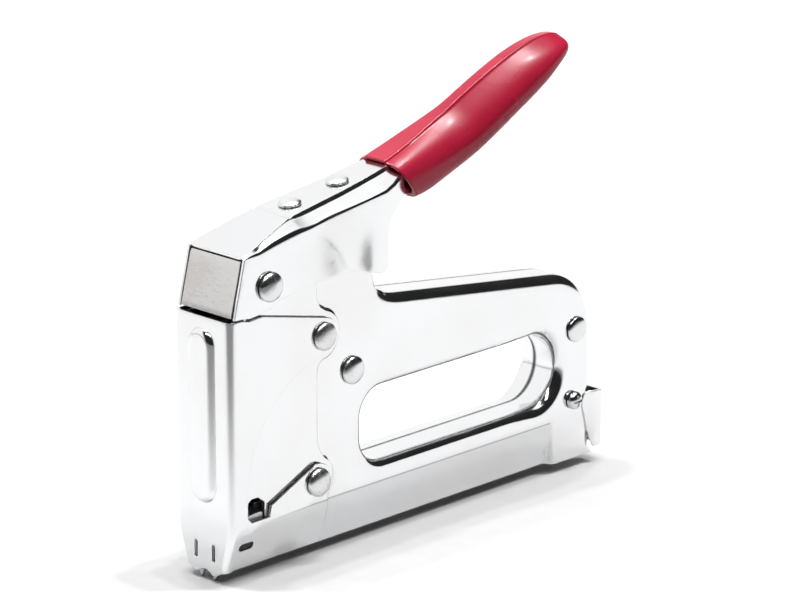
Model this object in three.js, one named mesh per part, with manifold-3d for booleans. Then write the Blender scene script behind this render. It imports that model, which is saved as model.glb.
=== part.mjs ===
// A hand staple gun of pressed chromed steel: two body halves round a finger opening, a folded nose plate,
// a squeeze lever with a red grip, and inside them the lifting lever, hammer, main spring and magazine.
// Millimetres, +Z up. X runs from the nose (0) to the rear, Y = 0 is the seam between the body halves, and
// Z = 0 is the body's lower edge. The whole tool is moved at the end, so that its origin is the middle of
// the bottom of its bounding box.
import * as THREE from 'three';
import { mergeVertices } from 'three/addons/utils/BufferGeometryUtils.js';
import Module from 'manifold-3d';

const wasm = await Module();
wasm.setup();

// ---------------------------------------------------------------- driving dimensions
const SHEET = 1.1; // body steel
const THIN = 1.0; // nose plate and lever steel
const GAP = 0.3; // clearance between neighbouring pieces

const SIDE = 10.8; // body half: outer face of the loop, from the seam
const FRONT_SIDE = 11.5; // body half: raised front panel
const SKIN = 12.8; // outer face of the nose plate's wings and of the lever's skirt
const BODY_LENGTH = 169;
const BODY_ROUND = 2.8; // pressed rim round the outside of a body half
const LAP = SHEET + GAP; // the left half's rim laps over the right half's by this step
const LAP_WIDTH = 1.2;

const LOOP_TOP_FRONT = [78, 76.4];
const LOOP_TOP_REAR = [150, 66.6];
const REAR_CORNER = 44; // height where the rear corner's curve ends
const OPENING = { front: 59.6, rear: 152.9, low: 22.2, high: 47.1, frontRadius: 9.5 };

const STRIP_TOP = 15.2; // the lower strip leans in below this height
const STRIP_FOOT = 7.5; // its lower edge, from the seam
const STRIP_LEAN = (11.7 - STRIP_FOOT) / STRIP_TOP;
const STRIP_REAR = 149.5;

const PIVOT = [17, 92.2]; // lever pivot, X and Z
const UPPER_RIVET = [40.6, 70.8]; // also the lifting lever's pivot
const MIDDLE_RIVET = [54.9, 55.9];
const LOWER_RIVET = [37.5, 23];
const REAR_RIVET = [160.7, 45.6];
const LATCH_STUD = [159.4, 20.9];
const SHANK = 2.2; // rivet shank radius

const NOSE_ROUND = 2.2;
const PRONG = 3.3; // the wire guide's prongs reach this far below the body
const SLOT_Y = 4; // staple-view slots and staple legs, from the seam

const SWING = THREE.MathUtils.degToRad(21); // lever travel
const LIFT_ARM = 17.5;

const PANEL_EDGE = 38.4; // rear edge of the raised front panel
const NOSE_TOP = 83.6; // upper edge of the nose plate
const EAR_TOP = 94; // upper edge of the ears, inside the lever
const RIB = { low: 22.5, high: 80, halfWidth: 5.6, height: 1.6, run: 2.2 }; // pressed out of the nose plate

const MAGAZINE = 6.3; // half-width of the openings for the magazine
const RAIL_TOP = 10.2;
const STAPLE_HALF = SLOT_Y + 0.75; // outer faces of the staples and the pusher, from the seam
const STRIP_END = 72; // rear end of the staples
const PUSHER_LENGTH = 11;
const ROD = 1.2;
const ROD_Z = 15.6;
const ROD_FRONT = 22;
const LATCH_REAR = 173.5;
const ROD_REAR = LATCH_REAR - THIN - GAP;

const HAMMER_LOW = 44; // hammer at rest
const HAMMER_TOP = 60;
const SEAT = 86.8; // underside of the main spring's seat

const TOP_SLOPE = Math.atan2(3.3, 20.9); // slope of the lever's top strip
const LEVER_RIVETS = [[38.3, 0, 111.4], [59.2, 0, 114.65]];
const LEVER_SHANK = 1.6;
const LINER_HALF = 8.2; // the liner's outer faces and the roller's ends, from the seam
const ROLLER = [60, 86];
const ROLLER_RADIUS = 2.2;

const STEPS = 8; // segments in each curve of an outline
const BIG = 40; // half-size of cutting blocks that only have to be large
const PAST_REAR = 200; // cutting blocks reach behind the tool to here,
const PAST_TOP = 120; // and above the body to here

// ---------------------------------------------------------------- materials
function metal(color, roughness, metalness = 1) {
  return new THREE.MeshStandardMaterial({ color, roughness, metalness });
}

const chrome = () => metal(0xdfe1e4, 0.12);
const rivetChrome = () => metal(0xd2d4d6, 0.16);
const innerSteel = () => metal(0x8f9296, 0.4);
const darkSteel = () => metal(0x4a4c50, 0.45);
const stapleSteel = () => metal(0xb9bbbd, 0.35);
const redVinyl = () => metal(0xb3122c, 0.25, 0);
const fibre = () => metal(0x3a2a22, 0.8, 0);

// ---------------------------------------------------------------- solids and cuts
// The geometry's points alone, with shared ones merged.
function merge(geometry) {
  const bare = new THREE.BufferGeometry();
  bare.setAttribute('position', geometry.getAttribute('position').clone());
  if (geometry.index) bare.setIndex(geometry.index.clone());
  return mergeVertices(bare, 1e-4);
}

function toSolid(geometry) {
  const merged = merge(geometry);
  const corners = [];
  const index = merged.index.array;
  for (let i = 0; i < index.length; i += 3) {
    const [a, b, c] = [index[i], index[i + 1], index[i + 2]];
    if (a !== b && b !== c && c !== a) corners.push(a, b, c);
  }
  return new wasm.Manifold(new wasm.Mesh({
    numProp: 3,
    vertProperties: new Float32Array(merged.getAttribute('position').array),
    triVerts: new Uint32Array(corners),
  }));
}

function toGeometry(solid) {
  const mesh = solid.getMesh();
  const geometry = new THREE.BufferGeometry();
  geometry.setAttribute('position', new THREE.BufferAttribute(new Float32Array(mesh.vertProperties), 3));
  geometry.setIndex(new THREE.BufferAttribute(new Uint32Array(mesh.triVerts), 1));
  geometry.computeVertexNormals();
  return geometry;
}

const join = (...geometries) => geometries.map(toSolid).reduce((all, one) => all.add(one));
const cut = (solid, ...geometries) => {
  return geometries.map(toSolid).reduce((rest, one) => rest.subtract(one), solid);
};
const common = (...geometries) => geometries.map(toSolid).reduce((all, one) => all.intersect(one));

// ---------------------------------------------------------------- basic shapes
function block(x0, x1, y0, y1, z0, z1) {
  const geometry = new THREE.BoxGeometry(x1 - x0, y1 - y0, z1 - z0);
  return geometry.translate((x0 + x1) / 2, (y0 + y1) / 2, (z0 + z1) / 2);
}

// A cylinder across the tool, along Y, at a point given in X and Z.
function pin(radius, y0, y1, [x, z], sides = 16) {
  const geometry = new THREE.CylinderGeometry(radius, radius, y1 - y0, sides);
  return geometry.translate(x, (y0 + y1) / 2, z);
}

function outline(points) {
  return new THREE.Shape(points.map(([x, y]) => new THREE.Vector2(x, y)));
}

function stadium(x, y, halfLength, halfWidth, upright = false) {
  const straight = halfLength - halfWidth;
  const shape = new THREE.Shape();
  if (upright) {
    shape.absarc(x, y + straight, halfWidth, 0, Math.PI, false);
    shape.absarc(x, y - straight, halfWidth, Math.PI, 2 * Math.PI, false);
  } else {
    shape.absarc(x + straight, y, halfWidth, -Math.PI / 2, Math.PI / 2, false);
    shape.absarc(x - straight, y, halfWidth, Math.PI / 2, (3 * Math.PI) / 2, false);
  }
  shape.closePath();
  return shape;
}

// Extrudes an outline. Its rims are rounded by round, or sloped over the depth slope, and inset shrinks
// the whole outline.
function extrude(shape, length, { round = 0, slope = round, inset = 0, steps = 3, curve = STEPS } = {}) {
  return new THREE.ExtrudeGeometry(shape, {
    depth: length - 2 * slope,
    bevelEnabled: round > 0,
    bevelThickness: slope,
    bevelSize: round,
    bevelOffset: -round - inset,
    bevelSegments: steps,
    curveSegments: curve,
  }).translate(0, 0, slope);
}

// An outline drawn in X and Z, from y = from to y = to.
function slab(shape, from, to, options) {
  return extrude(shape, to - from, options).rotateX(Math.PI / 2).translate(0, to, 0);
}

// An outline drawn in Y and Z, from x = from to x = to.
function bar(shape, from, to, options) {
  return extrude(shape, to - from, options).rotateX(Math.PI / 2).rotateZ(Math.PI / 2).translate(from, 0, 0);
}

// An outline drawn in X and Y, from z = from to z = to.
function column(shape, from, to, options) {
  return extrude(shape, to - from, options).translate(0, 0, from);
}

// The same solid on the other side of the seam.
function mirrored(geometry) {
  const copy = merge(geometry).scale(1, -1, 1);
  const index = copy.index.array;
  for (let i = 0; i < index.length; i += 3) [index[i], index[i + 1]] = [index[i + 1], index[i]];
  return copy;
}

// Joins rings of points, all of the same length and running the same way, into a closed solid.
function loft(rings) {
  const size = rings[0].length;
  const index = [];
  for (let ring = 0; ring + 1 < rings.length; ring += 1) {
    for (let i = 0; i < size; i += 1) {
      const a = ring * size + i;
      const b = ring * size + ((i + 1) % size);
      index.push(a, b, a + size, b, b + size, a + size);
    }
  }
  const cap = (ring) => THREE.ShapeUtils.triangulateShape(ring.map((p) => new THREE.Vector2(p.y, p.z)), []);
  const last = (rings.length - 1) * size;
  for (const [a, b, c] of cap(rings[0])) index.push(c, b, a);
  for (const [a, b, c] of cap(rings[rings.length - 1])) index.push(last + a, last + b, last + c);
  const geometry = new THREE.BufferGeometry().setFromPoints(rings.flat());
  return geometry.setIndex(index);
}

// A rivet along Y with a domed head at each end, seat being the distance from the middle to a head.
function rivetShape(seat, radius, dome, shank = SHANK) {
  const rim = dome * 0.25;
  const half = [new THREE.Vector2(0, seat + dome)];
  for (const angle of [25, 50, 75]) {
    const turn = THREE.MathUtils.degToRad(angle);
    half.push(new THREE.Vector2(radius * Math.sin(turn), seat + rim + (dome - rim) * Math.cos(turn)));
  }
  half.push(new THREE.Vector2(radius, seat + rim));
  half.push(new THREE.Vector2(radius - rim / 2, seat));
  half.push(new THREE.Vector2(shank, seat));
  const other = half.map((point) => new THREE.Vector2(point.x, -point.y));
  return new THREE.LatheGeometry([...other, ...half.reverse()], 16);
}

// A compression spring along +Z from the origin.
function coil(radius, wire, turns, length, sides, perTurn) {
  class Helix extends THREE.Curve {
    getPoint(t, target = new THREE.Vector3()) {
      const angle = 2 * Math.PI * turns * t;
      return target.set(radius * Math.cos(angle), radius * Math.sin(angle), wire + t * (length - 2 * wire));
    }
  }
  const section = new THREE.Shape();
  for (let i = 0; i < sides; i += 1) {
    const angle = (2 * Math.PI * i) / sides;
    const point = [wire * Math.cos(angle), wire * Math.sin(angle)];
    if (i === 0) section.moveTo(...point);
    else section.lineTo(...point);
  }
  section.closePath();
  const options = { steps: turns * perTurn, extrudePath: new Helix(), bevelEnabled: false };
  return new THREE.ExtrudeGeometry(section, options);
}

// ---------------------------------------------------------------- outlines in X and Z
// The ears round the lever pivot, shared by the body and its raised panel.
function traceEar(shape) {
  shape.lineTo(31, EAR_TOP);
  shape.lineTo(21, 96.6);
  shape.absarc(...PIVOT, 6, 0.8, Math.PI - 0.2, false);
  shape.lineTo(8, NOSE_TOP - 1);
  shape.lineTo(-6, NOSE_TOP - 1);
  shape.closePath();
}

function bodyOutline(bottom) {
  const shape = new THREE.Shape();
  shape.moveTo(-6, bottom);
  shape.lineTo(BODY_LENGTH, bottom);
  shape.lineTo(BODY_LENGTH, REAR_CORNER);
  shape.bezierCurveTo(BODY_LENGTH, 56, 161.5, 65, ...LOOP_TOP_REAR);
  shape.lineTo(...LOOP_TOP_FRONT);
  shape.quadraticCurveTo(66.5, 78.6, 65, 85);
  shape.lineTo(63.5, 90);
  shape.quadraticCurveTo(62.5, EAR_TOP, 58, EAR_TOP);
  traceEar(shape);
  shape.holes.push(openingOutline());
  return shape;
}

function openingOutline() {
  const { front, rear, low, high, frontRadius: r } = OPENING;
  const end = (high - low) / 2;
  const hole = new THREE.Path();
  hole.moveTo(front, low + r);
  hole.lineTo(front, high - r);
  hole.absarc(front + r, high - r, r, Math.PI, Math.PI / 2, true);
  hole.lineTo(rear - end, high);
  hole.absarc(rear - end, low + end, end, Math.PI / 2, -Math.PI / 2, true);
  hole.lineTo(front + r, low);
  hole.absarc(front + r, low + r, r, -Math.PI / 2, -Math.PI, true);
  return hole;
}

// The raised front panel, with a lobe round each of its two rivets.
function panelOutline() {
  const lobe = 8.4;
  const shape = new THREE.Shape();
  shape.moveTo(-6, 0);
  shape.lineTo(LOWER_RIVET[0] + lobe, 0);
  shape.absarc(...LOWER_RIVET, lobe, 0, Math.PI / 2 - 0.15, false);
  shape.lineTo(PANEL_EDGE, UPPER_RIVET[1] - lobe + 0.4);
  shape.absarc(...UPPER_RIVET, lobe, -Math.PI / 2 + 0.2, Math.PI / 2 - 0.1, false);
  shape.lineTo(PANEL_EDGE, 82);
  shape.lineTo(PANEL_EDGE, EAR_TOP);
  traceEar(shape);
  return shape;
}

// The nose plate's wing: an upper and a lower arm, each round a rivet, with a curved bay between them.
function wingOutline() {
  const lobe = 6.1;
  const bay = { x: 47, z: 25, radius: 40 };
  const shape = new THREE.Shape();
  shape.moveTo(-1, -9);
  shape.lineTo(3.4, -9);
  shape.lineTo(3.4, 11.6);
  shape.lineTo(7.4, 12.4);
  shape.lineTo(12.6, 15);
  shape.lineTo(LOWER_RIVET[0] - 2, 15.4);
  shape.absarc(...LOWER_RIVET, lobe, -Math.PI / 3, Math.PI / 2 + 0.35, false);
  shape.lineTo(16.8, 20);
  shape.lineTo(16.2, 16.6);
  shape.lineTo(8.4, 16.6);
  shape.lineTo(bay.x - bay.radius, 18);
  shape.absarc(bay.x, bay.z, bay.radius, Math.PI, Math.PI / 2 + 0.1, true);
  shape.absarc(...UPPER_RIVET, lobe, -Math.PI / 3, Math.PI / 2 - 0.2, false);
  shape.lineTo(14, NOSE_TOP - 0.4);
  shape.lineTo(8.4, NOSE_TOP - 0.8);
  shape.lineTo(5, NOSE_TOP);
  shape.lineTo(-1, NOSE_TOP);
  shape.closePath();
  return shape;
}

// ---------------------------------------------------------------- body pieces
// Everything outside the plane that the lower strip leans in on, which is depth inside its outer face.
function stripCutter(depth, to) {
  const y = (z) => -(STRIP_FOOT - depth + STRIP_LEAN * z);
  return bar(outline([[y(-2), -2], [y(17), 17], [-BIG, 17], [-BIG, -2]]), -BIG, to);
}

function sideHoles() {
  const window = outline([[7.6, 15.6], [15.4, 15.6], [15.4, 22], [13, 23.8], [9.4, 23.8], [7.6, 22.4]]);
  const rivets = [PIVOT, UPPER_RIVET, MIDDLE_RIVET, LOWER_RIVET, REAR_RIVET, LATCH_STUD];
  return [
    slab(window, -BIG, BIG),
    slab(stadium(9, 7.8, 2.8, 1.2), -BIG, BIG),
    ...rivets.map((point) => pin(SHANK + GAP, -BIG, BIG, point, 12)),
  ];
}

// One pressed half of the body. drop sets its rims in, so that the other half laps over them, and
// cutAway removes what lies beyond seam, where its rims end.
function bodyHalf(drop, seam, cutAway) {
  const whole = bodyOutline(-drop);
  const panel = panelOutline();
  const room = SIDE - SHEET;
  const panelRoom = FRONT_SIDE - SHEET;
  const joggle = { round: 0.9, slope: FRONT_SIDE - SIDE, steps: 1 };

  const strip = stripCutter(0, STRIP_REAR);
  const solid = cut(
    join(
      slab(whole, -SIDE, SIDE, { round: BODY_ROUND, inset: drop }),
      slab(panel, -FRONT_SIDE, FRONT_SIDE, joggle),
    ),
    strip,
    mirrored(strip),
  );
  const roomStrip = stripCutter(SHEET + 0.04, STRIP_REAR + SHEET);
  const hollow = cut(
    join(
      slab(whole, -room, room, { round: BODY_ROUND - SHEET, inset: drop + SHEET, steps: 2 }),
      slab(panel, -panelRoom, panelRoom, { ...joggle, inset: SHEET }),
    ),
    roomStrip,
    mirrored(roomStrip),
  );
  return toGeometry(cut(
    solid.subtract(hollow),
    cutAway(seam),
    block(-BIG, NOSE_ROUND + GAP, -BIG, BIG, -BIG, PAST_TOP), // open at the nose
    block(-BIG, 71, -room, room, 77, PAST_TOP), // open above, between the ears
    block(-BIG, PANEL_EDGE - 2, -panelRoom, panelRoom, 70, PAST_TOP),
    block(-BIG, 167, -MAGAZINE, MAGAZINE, -BIG, 4), // open below, along the magazine
    block(155, PAST_REAR, -MAGAZINE, MAGAZINE, -BIG, 20.4), // open at the rear, for the magazine
    ...sideHoles(),
  ));
}

const beyondLeft = (seam) => block(-BIG, PAST_REAR, seam, BIG, -BIG, PAST_TOP);
const beyondRight = (seam) => block(-BIG, PAST_REAR, -BIG, seam, -BIG, PAST_TOP);
const leftShell = () => bodyHalf(0, LAP_WIDTH, beyondLeft);
const rightShell = () => bodyHalf(LAP, -LAP_WIDTH, beyondRight);

// A U in X and Y, closed and rounded at the nose.
function noseColumn(inset, from, to) {
  const side = SKIN - inset;
  const r = NOSE_ROUND - inset;
  const shape = new THREE.Shape();
  shape.moveTo(60, side);
  shape.lineTo(NOSE_ROUND, side);
  shape.absarc(NOSE_ROUND, SKIN - NOSE_ROUND, r, Math.PI / 2, Math.PI, false);
  shape.absarc(NOSE_ROUND, NOSE_ROUND - SKIN, r, Math.PI, (3 * Math.PI) / 2, false);
  shape.lineTo(60, -side);
  shape.closePath();
  return column(shape, from, to, { curve: 4 });
}

// The nose seen from the front: straight sides that taper below the strip's fold.
function noseFront(inset, feet) {
  const side = SKIN - inset;
  const half = [[side, 95], [side, 13], [8.8 - inset, 0.3], ...feet];
  const other = half.map(([y, z]) => [-y, z]).reverse();
  return bar(outline([...half, ...other]), -BIG, 2 * BIG);
}

function nosePlate() {
  const arch = [[5.2, -1.2], [3.8, -1.2], [2.2, -0.2], [0.8, 0.3]];
  const outer = common(
    slab(wingOutline(), -SKIN, SKIN),
    noseColumn(0, -10, 95),
    noseFront(0, arch),
  );
  const inner = common(noseColumn(THIN, -10, 95), noseFront(THIN, [[8.8 - THIN, -9]]));
  const mid = (RIB.low + RIB.high) / 2;
  const half = (RIB.high - RIB.low) / 2;
  const sides = { round: RIB.run, slope: RIB.height };
  const rib = common(
    bar(stadium(0, mid, half, RIB.halfWidth, true), -RIB.height, THIN + RIB.height, sides),
    block(-BIG, THIN / 2, -BIG, BIG, 0, PAST_TOP),
  );
  const hollow = stadium(0, mid, half - THIN, RIB.halfWidth - THIN, true);
  return toGeometry(cut(
    outer.subtract(inner).add(rib),
    bar(hollow, THIN - RIB.height, BIG, sides),
    bar(stadium(-SLOT_Y, 6.3, 2.9, 0.75, true), -BIG, BIG),
    bar(stadium(SLOT_Y, 6.3, 2.9, 0.75, true), -BIG, BIG),
    ...[UPPER_RIVET, LOWER_RIVET].map((point) => pin(SHANK + GAP, -BIG, BIG, point, 12)),
  ));
}

// The hardened plate behind the nose: it guides the staple, and its two prongs straddle a wire.
function guidePlate() {
  const half = [[6.4, 19.5], [6.4, 1.8], [4.6, -0.6], [3.3, -PRONG], [2.6, -PRONG], [1.9, -0.9], [0.9, 0.3]];
  const other = half.map(([y, z]) => [-y, z]).reverse();
  return bar(outline([...half, ...other]), THIN + GAP, THIN + GAP + 0.9);
}

// Bracket across the body that steadies the front of the magazine.
const guideBracket = () => block(10.4, 18.6, -9.7, 9.7, 14.2, 16.9);
const springSeat = () => block(5, 17, -10, 10, SEAT, SEAT + 1.6);
const bumper = () => block(4.2, 15, -10, 10, HAMMER_LOW - 6, HAMMER_LOW - 0.4);

// An upside-down U along X, round the magazine's middle plane.
function channel(half, wall, low, top, from, to) {
  const shape = outline([
    [half, low], [half, top], [-half, top], [-half, low],
    [wall - half, low], [wall - half, top - wall], [half - wall, top - wall], [half - wall, low],
  ]);
  return bar(shape, from, to);
}

const stapleRail = () => channel(3.6, 1, 1.2, RAIL_TOP, 3.9, 150);
const stapleStrip = () => channel(STAPLE_HALF, 0.8, 2.2, RAIL_TOP + 1.2, 4.2, STRIP_END);

function pusher() {
  const from = STRIP_END + GAP;
  const to = from + PUSHER_LENGTH;
  const body = join(
    channel(STAPLE_HALF, 0.8, 2.2, RAIL_TOP + 1.2, from, to),
    block(from, to, -STAPLE_HALF, STAPLE_HALF, RAIL_TOP + 0.35, ROD_Z + 2.4),
  );
  const bore = new THREE.CylinderGeometry(ROD + GAP, ROD + GAP, 60, 12).rotateZ(Math.PI / 2);
  return toGeometry(cut(body, bore.translate(from, 0, ROD_Z)));
}

const pusherRod = () => new THREE.CylinderGeometry(ROD, ROD, ROD_REAR - ROD_FRONT, 10).rotateZ(Math.PI / 2);

// The cap that locks the magazine at the rear, with an ear along each side of the body.
function rearLatch() {
  const side = outline([
    [LATCH_REAR, 2.3], [LATCH_REAR, 21.9], [167.4, 22.2], [165.6, 21.2],
    [164.6, 18], [167.5, 3], [168.2, 2.3],
  ]);
  const reach = SIDE + GAP;
  const half = 12.3;
  const corner = 1.6;
  const plan = new THREE.Shape();
  plan.moveTo(160, -reach - 0.1);
  plan.lineTo(166, -reach - 0.1);
  plan.lineTo(168.4, -half);
  plan.lineTo(LATCH_REAR - corner, -half);
  plan.absarc(LATCH_REAR - corner, corner - half, corner, -Math.PI / 2, 0, false);
  plan.absarc(LATCH_REAR - corner, half - corner, corner, 0, Math.PI / 2, false);
  plan.lineTo(168.4, half);
  plan.lineTo(166, reach + 0.1);
  plan.lineTo(160, reach + 0.1);
  plan.closePath();
  const cap = common(slab(side, -13, 13), column(plan, 0, 30, { curve: 4 }));
  return toGeometry(cut(cap, block(150, LATCH_REAR - THIN, -reach, reach, 0, 30)));
}

// ---------------------------------------------------------------- lever
// The lever's channel at one place along it: the side sheet's lower and upper ends, the top and its
// flat's half-width, and how far the section leans back per millimetre of height.
const LEVER_SECTIONS = [
  { x: 6.7, low: 84.4, shoulder: 102.9, top: 103.3, half: SKIN, flat: 12.2, lean: 0.27 },
  { x: 13, low: 84.6, shoulder: 103, top: 105.1, half: SKIN, flat: 11.4, lean: 0.14 },
  { x: 21, low: 86.4, shoulder: 104.4, top: 107.4, half: SKIN, flat: 10, lean: 0.04 },
  { x: 30.5, low: 88.3, shoulder: 106.2, top: 110.2, half: SKIN, flat: 8.4, lean: 0 },
  { x: 44, low: 89.4, shoulder: 108, top: 112.2, half: SKIN, flat: 7.6, lean: 0 },
  { x: 49, low: 89.8, shoulder: 108.7, top: 113, half: SKIN - 0.4, flat: 7.3, lean: 0 },
  { x: 54, low: 89.3, shoulder: 109.4, top: 113.8, half: SKIN - 0.7, flat: 7, lean: 0 },
  { x: 62, low: 87, shoulder: 110.4, top: 115.1, half: SKIN - 0.7, flat: 6.6, lean: 0 },
  { x: 67, low: 85.6, shoulder: 111.1, top: 116, half: SKIN - 0.7, flat: 6.3, lean: 0 },
  { x: 69.6, low: 86.4, shoulder: 111.5, top: 116.4, half: SKIN - 0.7, flat: 6.1, lean: 0 },
  { x: 70.4, low: 97, shoulder: 111.7, top: 116.6, half: SKIN - 0.8, flat: 6, lean: 0 },
  { x: 72.2, low: 101.7, shoulder: 112, top: 116.9, half: 11.3, flat: 5.8, lean: 0 },
  { x: 76.9, low: 105.9, shoulder: 112.8, top: 117.8, half: 9.9, flat: 5.2, lean: 0 },
  { x: 83, low: 107.8, shoulder: 114.6, top: 118.9, half: 8.4, flat: 4.6, lean: 0 },
  { x: 100, low: 113.6, shoulder: 120, top: 124.2, half: 7.6, flat: 4, lean: 0 },
  { x: 120, low: 122.4, shoulder: 128.4, top: 132.2, half: 7.2, flat: 4, lean: 0 },
  { x: 140, low: 133.5, shoulder: 137, top: 140, half: 6.2, flat: 3.6, lean: 0 },
];

function leverRing({ x, low, shoulder, top, half, flat, lean }) {
  const face = (inset) => {
    const points = [[half - inset, low]];
    for (let step = 0; step <= 3; step += 1) {
      const turn = (Math.PI / 2) * (step / 3);
      const y = flat + (half - inset - flat) * Math.cos(turn);
      points.push([y, shoulder - inset + (top - shoulder) * Math.sin(turn)]);
    }
    return points;
  };
  const round = (points) => [...points, ...points.map(([y, z]) => [-y, z]).reverse()];
  const section = [...round(face(0)), ...round(face(THIN)).reverse()];
  return section.map(([y, z]) => new THREE.Vector3(x + lean * (z - top), y, z));
}

function lever() {
  const front = outline([[2.2, 84.7], [3.2, 84.5], [8.1, 102.5], [7.2, 103]]);
  return toGeometry(cut(
    join(loft(LEVER_SECTIONS.map(leverRing)), slab(front, 0.2 - SKIN, SKIN - 0.2)),
    pin(SHANK + GAP, -BIG, BIG, PIVOT, 12),
    ...leverRivetHoles(),
  ));
}

// The holes for the two rivets through the lever's top, square to its slope.
function leverRivetHoles() {
  const radius = LEVER_SHANK + GAP;
  return LEVER_RIVETS.map((point) => {
    const hole = new THREE.CylinderGeometry(radius, radius, 12, 12).rotateX(Math.PI / 2);
    return hole.rotateY(-TOP_SLOPE).translate(...point);
  });
}

function leverRivet() {
  const head = [
    [0, -4.4], [2.7, -4.1], [2.9, -3.3], [LEVER_SHANK, -3.3], [LEVER_SHANK, GAP], [3.7, GAP],
    [3.9, GAP + 0.4], [3.5, GAP + 1], [2.2, GAP + 1.5], [0, GAP + 1.7],
  ];
  const profile = head.map(([r, y]) => new THREE.Vector2(r, y));
  return new THREE.LatheGeometry(profile, 14).rotateX(Math.PI / 2);
}

// The stiffening channel under the lever's top, whose plates carry the roller.
function leverLiner() {
  const top = [[25, 107.2], [38, 109.5], [59, 112.7], [73, 114.9]];
  const shape = outline(top);
  shape.lineTo(75, 109.5);
  shape.lineTo(69, 101);
  shape.absarc(...ROLLER, 4.6, 0.2, -Math.PI + 0.3, true);
  shape.lineTo(51, 97);
  shape.lineTo(34, 100.5);
  shape.lineTo(24, 103);
  const sheet = 1.4;
  const under = outline([
    ...top.map(([x, z]) => [x, z - sheet]), [90, 113.5], [90, 60], [10, 60], [10, 104.6],
  ]);
  return toGeometry(cut(
    join(slab(shape, -LINER_HALF, LINER_HALF)),
    slab(under, sheet - LINER_HALF, LINER_HALF - sheet),
    pin(ROLLER_RADIUS + GAP, -BIG, BIG, ROLLER, 12),
    ...leverRivetHoles(),
  ));
}

// The vinyl grip at one place along it: its top and bottom points in X and Z, and its half-width.
const GRIP_SECTIONS = [
  { top: [75.6, 119.5], low: [86.6, 105.4], half: 11 },
  { top: [86.3, 123.1], low: [92.4, 106.5], half: 11 },
  { top: [97, 127], low: [103, 110.3], half: 10.9 },
  { top: [107.3, 130.9], low: [113.8, 114.5], half: 10.8 },
  { top: [117, 135.4], low: [123.6, 119.2], half: 10.7 },
  { top: [126, 139.4], low: [132.8, 124], half: 10.5 },
  { top: [134.5, 142.8], low: [141, 128.2], half: 10.2 },
  { top: [142.5, 145.3], low: [148.8, 132.6], half: 9.7 },
  { top: [149.5, 146.7], low: [155.2, 136.6], half: 8.6 },
  { top: [155.6, 147], low: [159.8, 139.3], half: 7 },
  { top: [160, 146.2], low: [162.4, 141], half: 5 },
  { top: [162.6, 144.6], low: [163.5, 142.4], half: 2.4 },
];

function gripRing({ top, low, half }, wall, power) {
  const up = new THREE.Vector3(top[0] - low[0], 0, top[1] - low[1]);
  const middle = new THREE.Vector3((top[0] + low[0]) / 2, 0, (top[1] + low[1]) / 2);
  const tall = up.length() / 2 - wall;
  up.normalize();
  const bulge = (value) => Math.sign(value) * Math.abs(value) ** (2 / power);
  return Array.from({ length: 16 }, (_, i) => {
    const angle = (2 * Math.PI * (i + 0.5)) / 16;
    const point = middle.clone().addScaledVector(up, tall * bulge(Math.sin(angle)));
    point.y = (half - wall) * bulge(Math.cos(angle));
    return point;
  });
}

function gripSleeve() {
  const outer = GRIP_SECTIONS.map((section) => gripRing(section, 0, 2.6));
  const inner = GRIP_SECTIONS.slice(0, 8).map((section, i) => gripRing(section, i === 0 ? 1.4 : 1.9, 4.5));
  const mouth = inner[0].map((point) => point.clone().add(new THREE.Vector3(-4, 0, -1.5)));
  return toGeometry(cut(join(loft(outer)), loft([mouth, ...inner])));
}

// ---------------------------------------------------------------- mechanism
// Its forward arm lifts the hammer, and its rear arm is pushed down by the lever's roller. At rest the
// forward arm points down by the lever's travel.
function liftingLever() {
  const [x, z] = UPPER_RIVET;
  const tip = [x - LIFT_ARM * Math.cos(SWING), z - LIFT_ARM * Math.sin(SWING)];
  const tail = [x + 20.8, z + 8];
  const arm = (end, wide, narrow) => {
    const along = new THREE.Vector2(end[0] - x, end[1] - z).normalize();
    return outline([
      [x - along.y * wide, z + along.x * wide], [x + along.y * wide, z - along.x * wide],
      [end[0] + along.y * narrow, end[1] - along.x * narrow],
      [end[0] - along.y * narrow, end[1] + along.x * narrow],
    ]);
  };
  const half = 2.5;
  return toGeometry(cut(
    join(
      pin(6, -half, half, UPPER_RIVET, 20),
      slab(arm(tip, 4, 2.1), -half, half),
      slab(arm(tail, 3.6, 2.2), -half, half),
      pin(2.2, -half, half, tip, 12),
      pin(2.3, -half, half, tail, 12),
    ),
    pin(SHANK + GAP, -BIG, BIG, UPPER_RIVET, 12),
  ));
}

function plunger() {
  const z = UPPER_RIVET[1] - LIFT_ARM * Math.sin(SWING);
  const jaw = 3.1;
  const shape = outline([
    [3.9, HAMMER_LOW], [14.6, HAMMER_LOW], [20, z - jaw - 3.6], [25, z - jaw - 3.6], [25, z - jaw],
    [20.4, z - jaw], [20.4, z + jaw], [25, z + jaw], [25, z + jaw + 3.6], [16, z + jaw + 3.6],
    [16, HAMMER_TOP], [3.9, HAMMER_TOP],
  ]);
  return slab(shape, -7.5, 7.5);
}

const driverBlade = () => block(2.5, 3.5, -4.7, 4.7, 0.4, HAMMER_TOP - 1);

// ---------------------------------------------------------------- assembly
function piece(name, geometry, material, [x, y, z] = [0, 0, 0]) {
  const mesh = new THREE.Mesh(geometry, material);
  mesh.name = name;
  mesh.position.set(x, y, z);
  return mesh;
}

function group(...members) {
  return new THREE.Group().add(...members);
}

function crossRivet(name, [x, z], face, radius, dome) {
  return piece(name, rivetShape(face + GAP, radius, dome), rivetChrome(), [x, 0, z]);
}

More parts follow.
